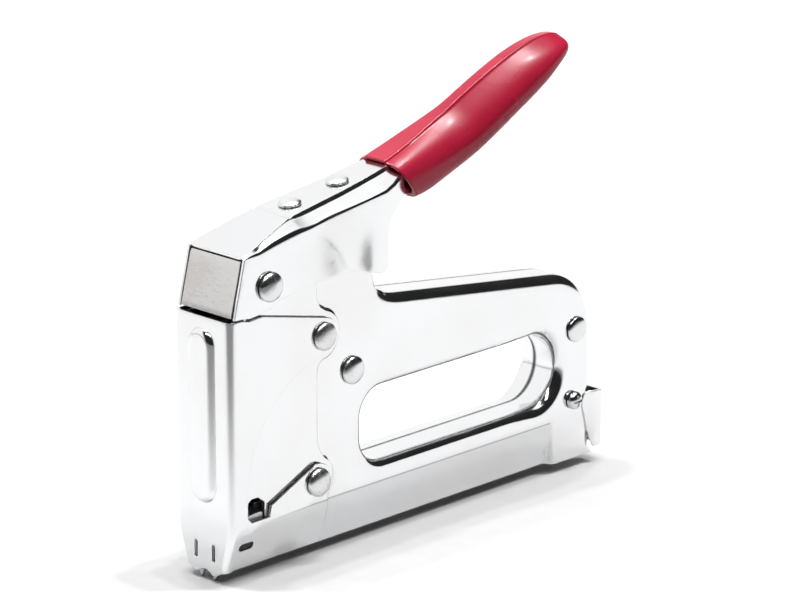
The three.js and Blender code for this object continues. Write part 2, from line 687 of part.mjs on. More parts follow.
const bodyGroup = group(
  piece('left_shell', leftShell(), chrome()),
  piece('right_shell', rightShell(), chrome()),
  piece('nose_plate', nosePlate(), chrome()),
  piece('guide_plate', guidePlate(), innerSteel()),
  piece('guide_bracket', guideBracket(), innerSteel()),
  piece('spring_seat', springSeat(), innerSteel()),
  piece('bumper', bumper(), fibre()),
  piece('staple_rail', stapleRail(), innerSteel()),
  piece('staple_strip', stapleStrip(), stapleSteel()),
  crossRivet('pivot_rivet', PIVOT, SKIN, 4.8, 2.7),
  crossRivet('upper_rivet', UPPER_RIVET, SKIN, 4.6, 2.1),
  crossRivet('middle_rivet', MIDDLE_RIVET, SIDE, 4.6, 2.1),
  crossRivet('lower_rivet', LOWER_RIVET, SKIN, 4.7, 2.5),
  crossRivet('rear_rivet', REAR_RIVET, SIDE, 4.4, 1.5),
  crossRivet('latch_stud', LATCH_STUD, SIDE, 3.1, 2.8),
);

const leverGroup = group(
  piece('lever', lever(), chrome()),
  piece('lever_liner', leverLiner(), innerSteel()),
  piece(
    'roller_pin',
    pin(ROLLER_RADIUS, -LINER_HALF, LINER_HALF, [0, 0]),
    darkSteel(),
    [ROLLER[0], 0, ROLLER[1]],
  ),
  ...LEVER_RIVETS.map((point, i) => {
    const rivet = piece(`lever_rivet_${i + 1}`, leverRivet(), rivetChrome(), point);
    rivet.rotation.y = -TOP_SLOPE;
    return rivet;
  }),
  piece('grip_sleeve', gripSleeve(), redVinyl()),
);

const springLength = SEAT - HAMMER_TOP - 2 * GAP;
const hammerGroup = group(
  piece('plunger', plunger(), darkSteel()),
  piece('driver_blade', driverBlade(), innerSteel()),
  piece('main_spring', coil(4.6, 0.8, 6, springLength, 6, 14), darkSteel(), [9, 0, HAMMER_TOP + GAP]),
);

const springStart = STRIP_END + GAP + PUSHER_LENGTH + GAP;
const pusherSpring = piece(
  'pusher_spring',
  coil(2, 0.3, 22, LATCH_REAR - THIN - GAP - springStart, 4, 9),
  darkSteel(),
  [springStart, 0, ROD_Z],
);
pusherSpring.rotation.y = Math.PI / 2;

const magazineGroup = group(
  piece('rear_latch', rearLatch(), chrome()),
  piece('pusher_rod', pusherRod(), innerSteel(), [(ROD_FRONT + ROD_REAR) / 2, 0, ROD_Z]),
  pusherSpring,
  piece('pusher', pusher(), innerSteel()),
);

const gun = group(
  bodyGroup,
  leverGroup,
  piece('lifting_lever', liftingLever(), darkSteel()),
  hammerGroup,
  magazineGroup,
);
gun.name = 'staple_gun';
gun.updateMatrixWorld(true);

const bounds = new THREE.Box3().setFromObject(gun, true);
gun.position.set(-(bounds.min.x + bounds.max.x) / 2, 0, -bounds.min.z);
gun.updateMatrixWorld(true);

export default gun;
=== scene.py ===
"""The looks of a chromed hand staple gun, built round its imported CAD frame.

The visible sheet metal is made again as finely meshed pressings with rounded, sheared edges. The inner CAD
nodes keep their shapes, with broken edges and finishes of their own. Shapes are drawn in millimetres from
the nose's front plane (x), the seam between the body halves (y) and the body's lower edge (z), and placed
in the frame by the CAD box of the left body half.
"""

import math

import bmesh
import bpy
import numpy as np
from mathutils import Matrix, Vector
from mathutils.geometry import delaunay_2d_cdt


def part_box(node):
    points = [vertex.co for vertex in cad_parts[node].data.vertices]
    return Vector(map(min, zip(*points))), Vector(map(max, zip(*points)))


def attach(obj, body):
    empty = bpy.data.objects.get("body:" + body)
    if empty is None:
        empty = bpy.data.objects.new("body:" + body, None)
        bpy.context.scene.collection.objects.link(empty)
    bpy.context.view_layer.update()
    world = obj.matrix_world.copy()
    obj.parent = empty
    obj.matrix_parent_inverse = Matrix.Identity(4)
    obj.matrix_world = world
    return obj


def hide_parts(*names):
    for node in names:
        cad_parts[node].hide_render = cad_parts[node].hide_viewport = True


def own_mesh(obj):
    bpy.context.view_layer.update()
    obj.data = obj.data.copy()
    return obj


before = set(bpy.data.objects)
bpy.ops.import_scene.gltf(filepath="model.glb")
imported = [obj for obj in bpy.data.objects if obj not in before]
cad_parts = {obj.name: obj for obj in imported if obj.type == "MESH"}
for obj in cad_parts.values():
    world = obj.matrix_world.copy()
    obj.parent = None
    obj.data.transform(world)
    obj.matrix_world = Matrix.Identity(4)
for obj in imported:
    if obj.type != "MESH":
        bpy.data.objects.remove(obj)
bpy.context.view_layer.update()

MM = 0.001

# ------------------------------------------------------------------ sizes, in millimetres
SHEET = 1.1  # body steel
THIN = 1.0  # nose plate and lever steel
SIDE = 10.8  # outer face of the loop, from the seam
FRONT_SIDE = 11.5  # outer face of the raised front panel
SKIN = 12.8  # outer face of the nose plate's wings and the lever's skirt
BODY_LENGTH = 169
BODY_ROUND = 3.6
REAR_RIM = 1.6  # extra rounding of the finger opening's rear end
LAP = 1.4  # the right half's rim sits this much inside the left half's
SEAM = 1.2  # each half's rim crosses the middle by this much
SHEARED = 0.16  # rounding of a sheet's cut edge

STRIP_TOP = 15.2
STRIP_FOOT = 7.5
STRIP_REAR = 149.5
BARE_EDGE = 0.25  # rounding of the body's edges that lie under other sheets

PIVOT = (17, 92.2)
UPPER_RIVET = (40.6, 70.8)
MIDDLE_RIVET = (54.9, 55.9)
LOWER_RIVET = (37.5, 23)
REAR_RIVET = (160.7, 45.6)
LATCH_STUD = (159.4, 20.9)

PANEL_EDGE = 38.9
NOSE_ROUND = 2.2
NOSE_TOP = 83.6
NOSE_FOOT = 8.75  # half-width of the nose's lowest edge
NOSE_FOLD = 13.4  # the nose tapers below this height
FRONT_HALF = SKIN - NOSE_ROUND
CORNER = NOSE_ROUND * math.pi / 2
BEAD_LOW, BEAD_HIGH, BEAD_HALF = 22.5, 80, 5.6  # the rib pressed out of the nose plate
BEAD_HEIGHT, BEAD_RUN = 1.55, 2.2  # how far it stands out, and the width of its sides

LATCH_REAR = 173.5
TAB_OUTER, TAB_INNER = 10.9, 10.1  # faces of the tab behind each window, from the seam

body_low, body_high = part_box("left_shell")
NOSE_X = body_high.x - BODY_LENGTH * MM
FOOT_Z = body_low.z


# ------------------------------------------------------------------ outlines
def arc(centre, radius, start, end, steps=10):
    """Points round a centre, from one angle to another in degrees."""
    angles = np.radians(np.linspace(start, end, steps + 1))
    return [(centre[0] + radius * math.cos(a), centre[1] + radius * math.sin(a)) for a in angles]


def bezier(a, b, c, d, steps=16):
    """Points along a cubic curve, both ends included."""
    t = np.linspace(0, 1, steps + 1)[:, None]
    a, b, c, d = (np.array(p, float) for p in (a, b, c, d))
    curve = (1 - t) ** 3 * a + 3 * (1 - t) ** 2 * t * b + 3 * (1 - t) * t * t * c + t**3 * d
    return [tuple(p) for p in curve]


def filleted(corners, steps=6):
    """A closed outline from (x, z, radius) corners, with each corner rounded."""
    out = []
    count = len(corners)
    for i, (x, z, radius) in enumerate(corners):
        here = np.array((x, z), float)
        before = np.array(corners[i - 1][:2], float) - here
        after = np.array(corners[(i + 1) % count][:2], float) - here
        if radius <= 0:
            out.append((x, z))
            continue
        reach_before, reach_after = np.linalg.norm(before), np.linalg.norm(after)
        before, after = before / reach_before, after / reach_after
        half = math.acos(max(-1, min(1, before @ after))) / 2
        back = min(radius / math.tan(half), 0.49 * reach_before, 0.49 * reach_after)
        start, end = here + before * back, here + after * back
        for t in np.linspace(0, 1, steps + 1):
            pull = 0.4 * here + 0.3 * (start + end)
            out.append(tuple((1 - t) ** 2 * start + 2 * (1 - t) * t * pull + t * t * end))
    return out


def resampled(points, spacing):
    """The same closed outline with extra points, so that no side is longer than the spacing."""
    points = np.array(points, float)
    keep = np.linalg.norm(points - np.roll(points, 1, 0), axis=1) > 1e-3
    points = points[keep]
    out = []
    for a, b in zip(points, np.roll(points, -1, 0)):
        count = max(1, int(math.ceil(np.linalg.norm(b - a) / spacing)))
        out.extend(a + (b - a) * k / count for k in range(count))
    return np.array(out)


def mirrored(half):
    return [(-y, z) for y, z in half[::-1]]


def anticlockwise(loop):
    x, z = loop[:, 0], loop[:, 1]
    area = (x * np.roll(z, -1) - np.roll(x, -1) * z).sum() / 2
    return loop if area > 0 else loop[::-1]


def inward(loop):
    """At each point, the step that insets the outline by one unit. Outer loops run anticlockwise."""
    before = loop - np.roll(loop, 1, 0)
    after = np.roll(loop, -1, 0) - loop
    before /= np.linalg.norm(before, axis=1)[:, None]
    after /= np.linalg.norm(after, axis=1)[:, None]
    n1 = np.stack([-before[:, 1], before[:, 0]], 1)
    n2 = np.stack([-after[:, 1], after[:, 0]], 1)
    n = n1 + n2
    n /= np.maximum(np.linalg.norm(n, axis=1)[:, None], 1e-6)
    return n / np.maximum((n * n1).sum(1), 0.6)[:, None]


def inside(points, loops):
    """True for points in the area between the loops, by crossings."""
    hit = np.zeros(len(points), bool)
    for loop in loops:
        x0, y0 = loop[:, 0], loop[:, 1]
        x1, y1 = np.roll(x0, -1), np.roll(y0, -1)
        px, py = points[:, 0][:, None], points[:, 1][:, None]
        spans = (y0 > py) != (y1 > py)
        rise = np.where(y1 == y0, 1e-12, y1 - y0)
        hit ^= (spans & (px < (x1 - x0) * (py - y0) / rise + x0)).sum(1) % 2 == 1
    return hit


def distance(points, loop, closed=True):
    """Unsigned distance of each point to a polyline."""
    a = loop if closed else loop[:-1]
    b = np.roll(loop, -1, 0) if closed else loop[1:]
    best = np.full(len(points), 1e9)
    for start in range(0, len(points), 4000):
        p = points[start : start + 4000, None, :]
        ab = (b - a)[None]
        t = np.clip(((p - a[None]) * ab).sum(2) / np.maximum((ab**2).sum(2), 1e-12), 0, 1)
        gap = np.linalg.norm(p - a[None] - ab * t[..., None], axis=2)
        best[start : start + 4000] = gap.min(1)
    return best


def signed(points, loop):
    """Distance to an outline, positive inside."""
    d = distance(points, loop)
    return np.where(inside(points, [loop]), d, -d)


def smooth(value, low, high):
    """Rises softly from 0 at low to 1 at high."""
    t = np.clip((value - low) / (high - low), 0, 1)
    return t * t * (3 - 2 * t)


# ------------------------------------------------------------------ meshes
def triangulate(loops, extra):
    """Triangles over the area between loops, with extra points inside it. Keeps the loops' point order."""
    sizes = [len(loop) for loop in loops]
    points = np.concatenate([*loops, extra]) if len(extra) else np.concatenate(loops)
    edges, start = [], 0
    for size in sizes:
        edges += [(start + i, start + (i + 1) % size) for i in range(size)]
        start += size
    found = delaunay_2d_cdt([Vector(p) for p in points], edges, [], 0, 1e-7)
    where = {}
    for new, olds in enumerate(found[3]):
        for old in olds:
            where[old] = new
    placed = np.array([tuple(v) for v in found[0]])
    triangles = np.array([f for f in found[2] if len(f) == 3])
    rings, start = [], 0
    for size in sizes:
        rings.append(np.array([where[start + i] for i in range(size)]))
        start += size
    triangles = triangles[inside(placed[triangles].mean(1), [placed[ring] for ring in rings])]
    return placed, triangles, rings


def interior(loops, spacing, curves=(), offsets=(0,), clear=0.45):
    """Grid points between loops, with closer rows beside the feature curves."""
    low, high = loops[0].min(0), loops[0].max(0)
    gx, gy = np.meshgrid(np.arange(low[0], high[0], spacing), np.arange(low[1], high[1], spacing))
    gx = gx + (np.arange(gx.shape[0]) % 2)[:, None] * spacing / 2
    grid = np.stack([gx.ravel(), gy.ravel()], 1)
    rows = []
    for curve in curves:
        along = np.gradient(curve, axis=0)
        along /= np.linalg.norm(along, axis=1)[:, None]
        across = np.stack([-along[:, 1], along[:, 0]], 1)
        rows += [curve + across * offset for offset in offsets]
        reach = max(abs(o) for o in offsets) + spacing * 0.4
        grid = grid[distance(grid, curve, closed=False) > reach]
    points = np.concatenate([*rows, grid]) if rows else grid
    points = points[inside(points, loops)]
    for loop in loops:
        points = points[distance(points, loop) > clear]
    return points


def linked(name, data):
    made = bpy.data.objects.new(name, data)
    bpy.context.scene.collection.objects.link(made)
    return made


def solid(name, vertices, faces, sharp=32, merged=False):
    """A piece from points in millimetres, faces turned outwards, with edges over the angle kept sharp."""
    mesh = bpy.data.meshes.new(name)
    placed = np.array(vertices, float) * MM + (NOSE_X, 0, FOOT_Z)
    mesh.from_pydata(placed.tolist(), [], [tuple(int(i) for i in f) for f in faces])
    bm = bmesh.new()
    bm.from_mesh(mesh)
    if merged:
        bmesh.ops.remove_doubles(bm, verts=bm.verts, dist=1e-7)
    bmesh.ops.recalc_face_normals(bm, faces=bm.faces)
    bm.to_mesh(mesh)
    bm.free()
    piece = linked(name, mesh)
    shade(piece, sharp)
    return piece


def shade(piece, sharp=32):
    """Smooth shading, but for edges over an angle in degrees."""
    piece.data.polygons.foreach_set("use_smooth", [True] * len(piece.data.polygons))
    piece.data.set_sharp_from_angle(angle=math.radians(sharp))


def cut(piece, tools, sharp=32):
    """Subtracts the tools, which are then removed."""
    for tool in tools:
        modifier = piece.modifiers.new("cut", "BOOLEAN")
        modifier.object = tool
        modifier.operation = "DIFFERENCE"
        modifier.solver = "MANIFOLD"
    bpy.context.view_layer.update()
    evaluated = piece.evaluated_get(bpy.context.evaluated_depsgraph_get())
    made = bpy.data.meshes.new_from_object(evaluated)
    piece.modifiers.clear()
    piece.data = made
    for tool in tools:
        bpy.data.objects.remove(tool)
    shade(piece, sharp)
    return piece


AXIS_ORDER = {  # two flat coordinates and a height along the axis, put in x, y, z order
    "x": lambda a, b, h: (h, a, b),
    "y": lambda a, b, h: (a, h, b),
    "z": lambda a, b, h: (a, b, h),
}


def prism(outline, low, high, axis="y"):
    """A straight extrusion, for cutting tools and the window tabs."""
    loop = np.array(outline, float)
    placed, triangles, (ring,) = triangulate([loop], np.zeros((0, 2)))
    count = len(placed)
    place = AXIS_ORDER[axis]
    vertices = [place(a, b, h) for h in (low, high) for a, b in placed]
    faces = [tuple(t) for t in triangles] + [tuple(t[::-1] + count) for t in triangles]
    faces += [(i, j, j + count, i + count) for i, j in zip(ring, np.roll(ring, -1))]
    return solid("tool", vertices, faces)


def box(x0, x1, y0, y1, z0, z1):
    return prism([(x0, z0), (x1, z0), (x1, z1), (x0, z1)], y0, y1)


def ring_faces(a, b):
    """Four-sided faces between two closed rings of point numbers."""
    return [(i, j, l, k) for i, j, l, k in zip(a, np.roll(a, -1), np.roll(b, -1), b)]


NO_POINTS = np.zeros((0, 2))


def pressed(name, loops, rounds, extra, face, base, side):
    """A solid whose outer face is a height over (x, z). Its rims are rounded and walled down to base."""
    steps = [inward(loop) for loop in loops]
    tops = [loop + step * r[:, None] for loop, step, r in zip(loops, steps, rounds)]
    top, top_triangles, top_rings = triangulate(tops, extra)
    back, back_triangles, back_rings = triangulate(loops, NO_POINTS)
    height = face(top)

    def placed(spots, depth):
        return np.stack([spots[:, 0], side * (depth + 0 * spots[:, 0]), spots[:, 1]], 1)

    vertices = [placed(top, height), placed(back, base)]
    faces = [tuple(t) for t in top_triangles] + [tuple(t + len(top)) for t in back_triangles]
    total = len(top) + len(back)
    for loop, step, r, top_ring, back_ring in zip(loops, steps, rounds, top_rings, back_rings):
        last = top_ring
        for angle in np.radians(np.linspace(0, 90, 10)[1:]):
            here = np.arange(total, total + len(loop))
            spots = loop + step * (r * (1 - math.sin(angle)))[:, None]
            vertices.append(placed(spots, height[top_ring] - r * (1 - math.cos(angle))))
            faces += ring_faces(last, here)
            total += len(loop)
            last = here
        faces += ring_faces(last, back_ring + len(top))
    return solid(name, np.concatenate(vertices), faces)


def sheet(name, loops, extra, fold, thickness, sheared=SHEARED, flip=1, sharp=32):
    """A bent sheet. fold places points of its flat pattern on its outer face; flip turns the sheet's
    thickness to the other side."""
    steps = [inward(loop) for loop in loops]
    flat, triangles, rings = triangulate([a + b * sheared for a, b in zip(loops, steps)], extra)

    def skin(points, depth):
        e = 0.01
        u = fold(points + (e, 0)) - fold(points - (e, 0))
        v = fold(points + (0, e)) - fold(points - (0, e))
        normal = np.cross(u, v)
        normal /= np.maximum(np.linalg.norm(normal, axis=1)[:, None], 1e-9)
        return fold(points) - flip * normal * depth

    vertices = [skin(flat, 0), skin(flat, thickness)]
    faces = [tuple(t) for t in triangles] + [tuple(t[::-1] + len(flat)) for t in triangles]
    turns = np.radians([22, 45, 68, 90])
    profile = [(sheared * (1 - math.sin(a)), sheared * (1 - math.cos(a))) for a in turns]
    profile += [(inset, thickness - depth) for inset, depth in profile[::-1]]
    total = 2 * len(flat)
    for loop, step, ring in zip(loops, steps, rings):
        last = ring
        for inset, depth in profile:
            here = np.arange(total, total + len(loop))
            vertices.append(skin(loop + step * inset, depth))
            faces += ring_faces(last, here)
            total += len(loop)
            last = here
        faces += ring_faces(last, ring + len(flat))
    return solid(name, np.concatenate(vertices), faces, sharp)


def lathe(name, profile, centre, axis="y", sides=56, sharp=35):
    """A turned piece from (radius, height) points, which start and end on the axis."""
    vertices, faces = [], []
    place = AXIS_ORDER[axis]
    for radius, height in profile:
        for k in range(sides):
            angle = 2 * math.pi * k / sides
            vertices.append(place(radius * math.cos(angle), radius * math.sin(angle), height))
    for row in range(len(profile) - 1):
        a = np.arange(sides) + row * sides
        faces += ring_faces(a, a + sides)
    return solid(name, np.array(vertices) + centre, faces, sharp, merged=True)


def loft(name, rings, sharp=40):
    """A closed solid through rings of points, capped at both ends."""
    size = len(rings[0])
    faces = []
    for row in range(len(rings) - 1):
        a = np.arange(size) + row * size
        faces += ring_faces(a, a + size)
    faces.append(tuple(range(size)))
    faces.append(tuple(range((len(rings) - 1) * size, len(rings) * size)))
    return solid(name, np.concatenate(rings), faces, sharp)


def spaced(table, x, soften=0):
    """Reads a table of rows that start with x, softening its kinks over a distance."""
    table = np.array(table, float)
    spread = np.linspace(-soften, soften, 7) if soften else [0]
    reads = [[np.interp(x + d, table[:, 0], table[:, c]) for d in spread] for c in range(1, table.shape[1])]
    return [np.mean(read, axis=0) for read in reads]


# ------------------------------------------------------------------ body halves
def body_outline():
    points = [(2.5, 0), (BODY_LENGTH, 0)]
    points += bezier((BODY_LENGTH, 44), (BODY_LENGTH, 56), (161.5, 65), (150, 66.6))
    points += bezier((78, 76.4), (70.5, 77.4), (66.5, 79.5), (65, 85))
    points += [(63.8, 89)] + arc((59, 90), 4, 0, 90, 5)
    points += [(31, 94), (24, 96.8)] + arc(PIVOT, 6, 60, 168, 8) + [(8, 82.6), (2.5, 82.6)]
    return resampled(points, 1.6)


def opening_outline():
    front, rear, low, high, r = 59.6, 152.9, 22.2, 47.1, 9.5
    end = (high - low) / 2
    points = arc((rear - end, low + end), end, -90, 90, 26)
    points += arc((front + r, high - r), r, 90, 180, 14) + arc((front + r, low + r), r, 180, 270, 14)
    return resampled(points, 2)[::-1]


def panel_outline():
    """Outline of the raised front panel, with a lobe round each of its rivets."""
    lobe = 8.4
    lower, upper = LOWER_RIVET, UPPER_RIVET
    points = [(-6, -6), (PANEL_EDGE + 5, -6), (PANEL_EDGE + 5, 12)]
    points += arc(lower, lobe, -45, 60, 12)
    points += bezier((41.2, 31), (39.3, 33), (PANEL_EDGE, 36), (PANEL_EDGE, 40), 6)
    points += bezier((PANEL_EDGE, 56), (PANEL_EDGE, 60), (39.4, 61.6), (41.5, 62.6), 6)
    points += arc(upper, lobe, -72, 75, 16)
    points += bezier((41.5, 79.8), (39.5, 80.6), (PANEL_EDGE, 83), (PANEL_EDGE, 86), 6)
    points += [(PANEL_EDGE, 110), (-6, 110)]
    return resampled(points, 0.8)


PANEL = panel_outline()
WINDOW = filleted([  # the low window in each side, x, z and radius of its corners
    (7.6, 15.6, 0), (15.4, 15.6, 0), (15.4, 21.6, 0.6), (12.6, 23.8, 0.8), (9.6, 23.8, 0.8), (7.6, 22.4, 0),
])
WINDOW_TAB = filleted([(8.3, 14.6, 0.3), (14.9, 14.6, 0.3), (14.9, 18.7, 0.7), (8.3, 18.1, 0.7)])
MAGAZINE_MOUTH = filleted([(150, -20, 0), (180, -20, 0), (180, 20.4, 0), (155, 20.4, 2)])


def soft_least(a, b, k):
    """The smaller of two values, blended over k where they cross."""
    h = np.clip(0.5 + 0.5 * (b - a) / k, 0, 1)
    return b * (1 - h) + a * h - k * h * (1 - h)


def body_face(points):
    """How far the body's side stands from the seam, with its raised panel and its leaning lower strip."""
    x, z = points[:, 0], points[:, 1]
    plane = SIDE + (FRONT_SIDE - SIDE) * smooth(signed(points, PANEL), -0.55, 0.55)
    share = soft_least(z / STRIP_TOP, np.ones(len(z)), 0.035)
    leaning = STRIP_FOOT + (plane - STRIP_FOOT) * share
    return leaning + (plane - leaning) * smooth(x, STRIP_REAR - 0.7, STRIP_REAR + 0.9)


def body_half(name, side, drop):
    """One hollow half of the body. drop moves its rim inwards, so that one half's rim fits in the other's."""
    loops = [body_outline(), opening_outline()]
    rounds, inner_rounds, inner_loops = [], [], []
    for index, loop in enumerate(loops):
        x, z = loop[:, 0], loop[:, 1]
        bare = (z < 0.01) & (x < BODY_LENGTH - 0.1) | (x < 2.6) | (z > 81) if index == 0 else x < 0
        r = np.where(bare, BARE_EDGE, BODY_ROUND)
        if index == 1:
            r = r - 0.7 + REAR_RIM * smooth(x, 126, 147)
        else:
            rear = x > 168.9
            r = np.where(rear, BARE_EDGE + (BODY_ROUND - BARE_EDGE) * smooth(z, 0, 4), r)
            r = np.where((z > 78) & (x > 60), 0.9 + (BODY_ROUND - 0.9) * smooth(-z, -86, -79), r)
        step = inward(loop)
        loop = loop + step * np.where(bare, 0, drop)[:, None]
        rounds.append(r)
        inner_rounds.append(np.where(bare, 0.05, np.maximum(r - SHEET, 0.05)))
        inner_loops.append(loop + inward(loop) * np.where(bare, -0.6, SHEET)[:, None])
        loops[index] = loop
    curves = [PANEL, np.stack([np.arange(2.5, STRIP_REAR, 1.6), np.full(92, STRIP_TOP)], 1)]
    crease = np.stack([np.full(14, STRIP_REAR + 0.1), np.arange(0.6, 14.6, 1)], 1)
    tops = [a + inward(a) * b[:, None] for a, b in zip(loops, rounds)]
    near = interior(tops, 2.4, [*curves, crease], (-0.9, -0.6, -0.4, -0.2, 0, 0.2, 0.4, 0.6, 0.9))
    shell = pressed(name, loops, rounds, near, body_face, -SEAM, side)
    inner_tops = [a + inward(a) * b[:, None] for a, b in zip(inner_loops, inner_rounds)]
    inner = interior(inner_tops, 3, [*curves, crease], (-0.6, -0.2, 0.2, 0.6))
    room = pressed("room", inner_loops, inner_rounds, inner, lambda p: body_face(p) - SHEET, -9, side)
    slot = arc((10.9, 7.8), 1.25, -90, 90) + arc((7.1, 7.8), 1.25, 90, 270)
    clear = SIDE - SHEET
    between_ears = box(-20, 71, -clear, clear, 77, 130)
    through_cuts = [prism(WINDOW, -30, 30), prism(slot, -30, 30), prism(MAGAZINE_MOUTH, -6.6, 6.6)]
    return cut(shell, [room, *through_cuts, between_ears])


# ------------------------------------------------------------------ nose
def nose_half_width(z):
    """The nose tapers below the lower strip's fold."""
    share = soft_least(z / NOSE_FOLD, np.ones(len(z)), 0.05)
    return NOSE_FOOT + (SKIN - NOSE_FOOT) * share


def nose_fold(points):
    """Bends the flat pattern round both corners and raises the rib."""
    s, z = np.abs(points[:, 0]), points[:, 1]
    side = np.where(points[:, 0] < 0, -1.0, 1.0)
    width = nose_half_width(z)
    flat = width - NOSE_ROUND
    turn = np.clip((s - FRONT_HALF) / NOSE_ROUND, 0, math.pi / 2)
    y = np.minimum(s / FRONT_HALF, 1) * flat + NOSE_ROUND * np.sin(turn)
    x = NOSE_ROUND * (1 - np.cos(turn)) + np.maximum(s - FRONT_HALF - CORNER, 0)
    mid, reach = (BEAD_HIGH + BEAD_LOW) / 2, (BEAD_HIGH - BEAD_LOW) / 2 - BEAD_HALF
    from_line = np.hypot(y, np.maximum(np.abs(z - mid) - reach, 0))
    up_side = np.clip((BEAD_HALF - from_line) / BEAD_RUN, 0, 1)
    x -= BEAD_HEIGHT * np.sin(math.pi / 2 * up_side**0.75)
    return np.stack([x, side * y, z], 1)


def front_pattern(y, z):
    """Where a point of the nose's front lies in the flat pattern."""
    return (y * FRONT_HALF / (nose_half_width(np.array([z]))[0] - NOSE_ROUND), z)


def nose_outline():
    wing = FRONT_HALF + CORNER - NOSE_ROUND  # adds to x on a wing
    lobe = 6.1
    half = [front_pattern(y, z) for y, z in [(0.9, 0.3), (2.1, -0.3), (3.5, -1.2), (5.1, -1.2)]]
    half += [(FRONT_HALF + 1, 0.25), (wing + 3.4, 0.3), (wing + 3.6, 11.7)]
    half += [(wing + 7.4, 12.5), (wing + 12.6, 15)]
    half += [(wing + LOWER_RIVET[0] - 3, 15.9)]
    half += arc((wing + LOWER_RIVET[0], LOWER_RIVET[1]), lobe, -75, 98, 18)
    half += [(wing + 17.2, 20.2), (wing + 16.4, 16.6), (wing + 8.6, 16.6)]
    half += [(wing + 7, 18.2), (wing + 7, 25)]
    half += arc((wing + 47, 25), 40, 178, 95, 30)
    half += arc((wing + UPPER_RIVET[0], UPPER_RIVET[1]), lobe, -52, 82, 16)
    half += [(wing + 30, 79.5), (wing + 14, 83.2), (wing + 8.4, 82.8), (wing + 5, NOSE_TOP)]
    return resampled(half + mirrored(half), 1.2)


def stadium(centre, half_length, radius, steps=10):
    """An upright slot's outline in (y, z)."""
    y, z = centre
    straight = half_length - radius
    return arc((y, z + straight), radius, 0, 180, steps) + arc((y, z - straight), radius, 180, 360, steps)


def nose_plate():
    slots = [[front_pattern(y, z) for y, z in stadium((k * 4, 6.3), 2.9, 0.75)] for k in (-1, 1)]
    loops = [nose_outline()] + [np.array(slot)[::-1] for slot in slots]
    mid = (BEAD_HIGH + BEAD_LOW) / 2
    rim = np.array(stadium((0, mid), (BEAD_HIGH - BEAD_LOW) / 2, BEAD_HALF, 24))
    rim = resampled(rim, 0.8)
    folds = []
    for s in (FRONT_HALF, FRONT_HALF + CORNER):
        for sign in (-1, 1):
            folds.append(np.stack([np.full(96, sign * s), np.linspace(0.5, 83.4, 96)], 1))
    bend = np.stack([np.linspace(-14, 14, 40), np.full(40, NOSE_FOLD)], 1)
    across = np.linspace(0, CORNER, 9)[1:-1]
    corner = np.concatenate([
        np.stack([np.full(70, sign * (FRONT_HALF + a)), np.linspace(0.8, 83, 70)], 1)
        for a in across for sign in (-1, 1)
    ])
    base = interior(loops, 2.2, [*folds, bend], (-1.5, -1.2, -0.9, -0.6, -0.3, 0, 0.3, 0.6), 0.35)
    from_rim = signed(base, rim)
    base = base[(from_rim < -0.7) | (from_rim > BEAD_RUN + 0.5)]
    up_rows = (-0.4, -0.15, 0, 0.06, 0.14, 0.25, 0.4, 0.6, 0.85, 1.1, 1.4, 1.7, 2, 2.3)
    bead_rows = np.concatenate([rim + inward(rim) * row for row in up_rows])
    clear = corner[inside(corner, loops)]
    for loop in loops:
        clear = clear[distance(clear, loop) > 0.35]
    keep = np.abs(np.abs(base[:, 0]) - FRONT_HALF - CORNER / 2) > CORNER / 2 + 0.1
    points = np.concatenate([base[keep], clear, bead_rows])
    return sheet("nose_plate_pressing", loops, points, nose_fold, THIN, flip=-1)


def guide_plate():
    """The flat plate behind the nose, whose toothed foot shows below it."""
    half = [(6.4, 19.5), (6.4, 1.8), (5.2, 0.2), (4.3, -1.4), (3.4, -3.1), (3.1, -3.28), (2.7, -3.28)]
    half += [(2.5, -3.0), (2.0, -1.2)] + arc((0, -1.9), 1.9, 35, 90, 6)
    outline = mirrored(half) + half
    loop = anticlockwise(resampled(outline[::-1], 0.8))

    def fold(p):
        return np.stack([0 * p[:, 0] + 1.3, p[:, 0], p[:, 1]], 1)

    return sheet("guide_plate_blade", [loop], NO_POINTS, fold, 0.9, flip=-1)


# ------------------------------------------------------------------ lever
# Along the lever: x, the side's upper end, the top, the half-width of the top's flat.
LEVER_TOP = [
    (2, 101.8, 102.1, 12.3), (6.6, 102.9, 103.3, 12.2), (13, 103, 105.5, 11.2), (21, 104.6, 108, 9.8),
    (30.5, 106.2, 110.8, 8.1), (44, 108, 112.8, 7.4), (54, 109.4, 114.2, 6.9), (62, 110.5, 115.5, 6.4),
    (70, 111.5, 117, 6), (76.9, 112.9, 118.2, 5.2), (83, 114, 119, 4.2), (92, 115.5, 119.8, 3),
    (112, 122, 126, 2.5),
]
SHOULDER = 8.0  # length given to the shoulder in the lever's flat pattern
FLAT = 6.0  # length given to half of the flat top
FACET_TILT = 29  # degrees from level of the facet beside the flat top
RIB_RUN = 0.5
RIB = 1.4  # how far the flat top stands above its facets from the front rivet back
CREASE_X, CREASE_DEPTH, CREASE_WIDTH = 30.8, 0.55, 0.55  # the shallow crease across the top
SLANT_X, SLANT_Z, SLANT_LEAN = 48.4, 95.5, 0.64  # a point on the sides' slanted crease, and its lean
FRONT_FOOT = 84.6  # lower edge of the plate that closes the channel's front


def lever_width(x, z):
    """Half-width of the channel. It steps in behind a slanted crease and towards the grip, and swells in
    two places low on its sides."""
    slant = (x - SLANT_X) + (z - SLANT_Z) * SLANT_LEAN
    soft = 2.4 + 6 * smooth(z, 98, 107)
    step = smooth(slant / soft, -1, 1) * 0.7
    grip = np.interp(x, [70, 74, 83, 92, 112], [0, 0.9, 4, 6, 6.8])
    swell = 0
    for middle, height, before, after in ((44.5 - (z - 92) * 0.4, 1.3, 3.2, 5.5), (62, 1.5, 3.6, 4)):
        reach = np.where(x < middle, before, after)
        swell = swell + height * np.exp(-(((x - middle) / reach) ** 2))
    return SKIN - step - grip + swell * smooth(-z, -104, -84)


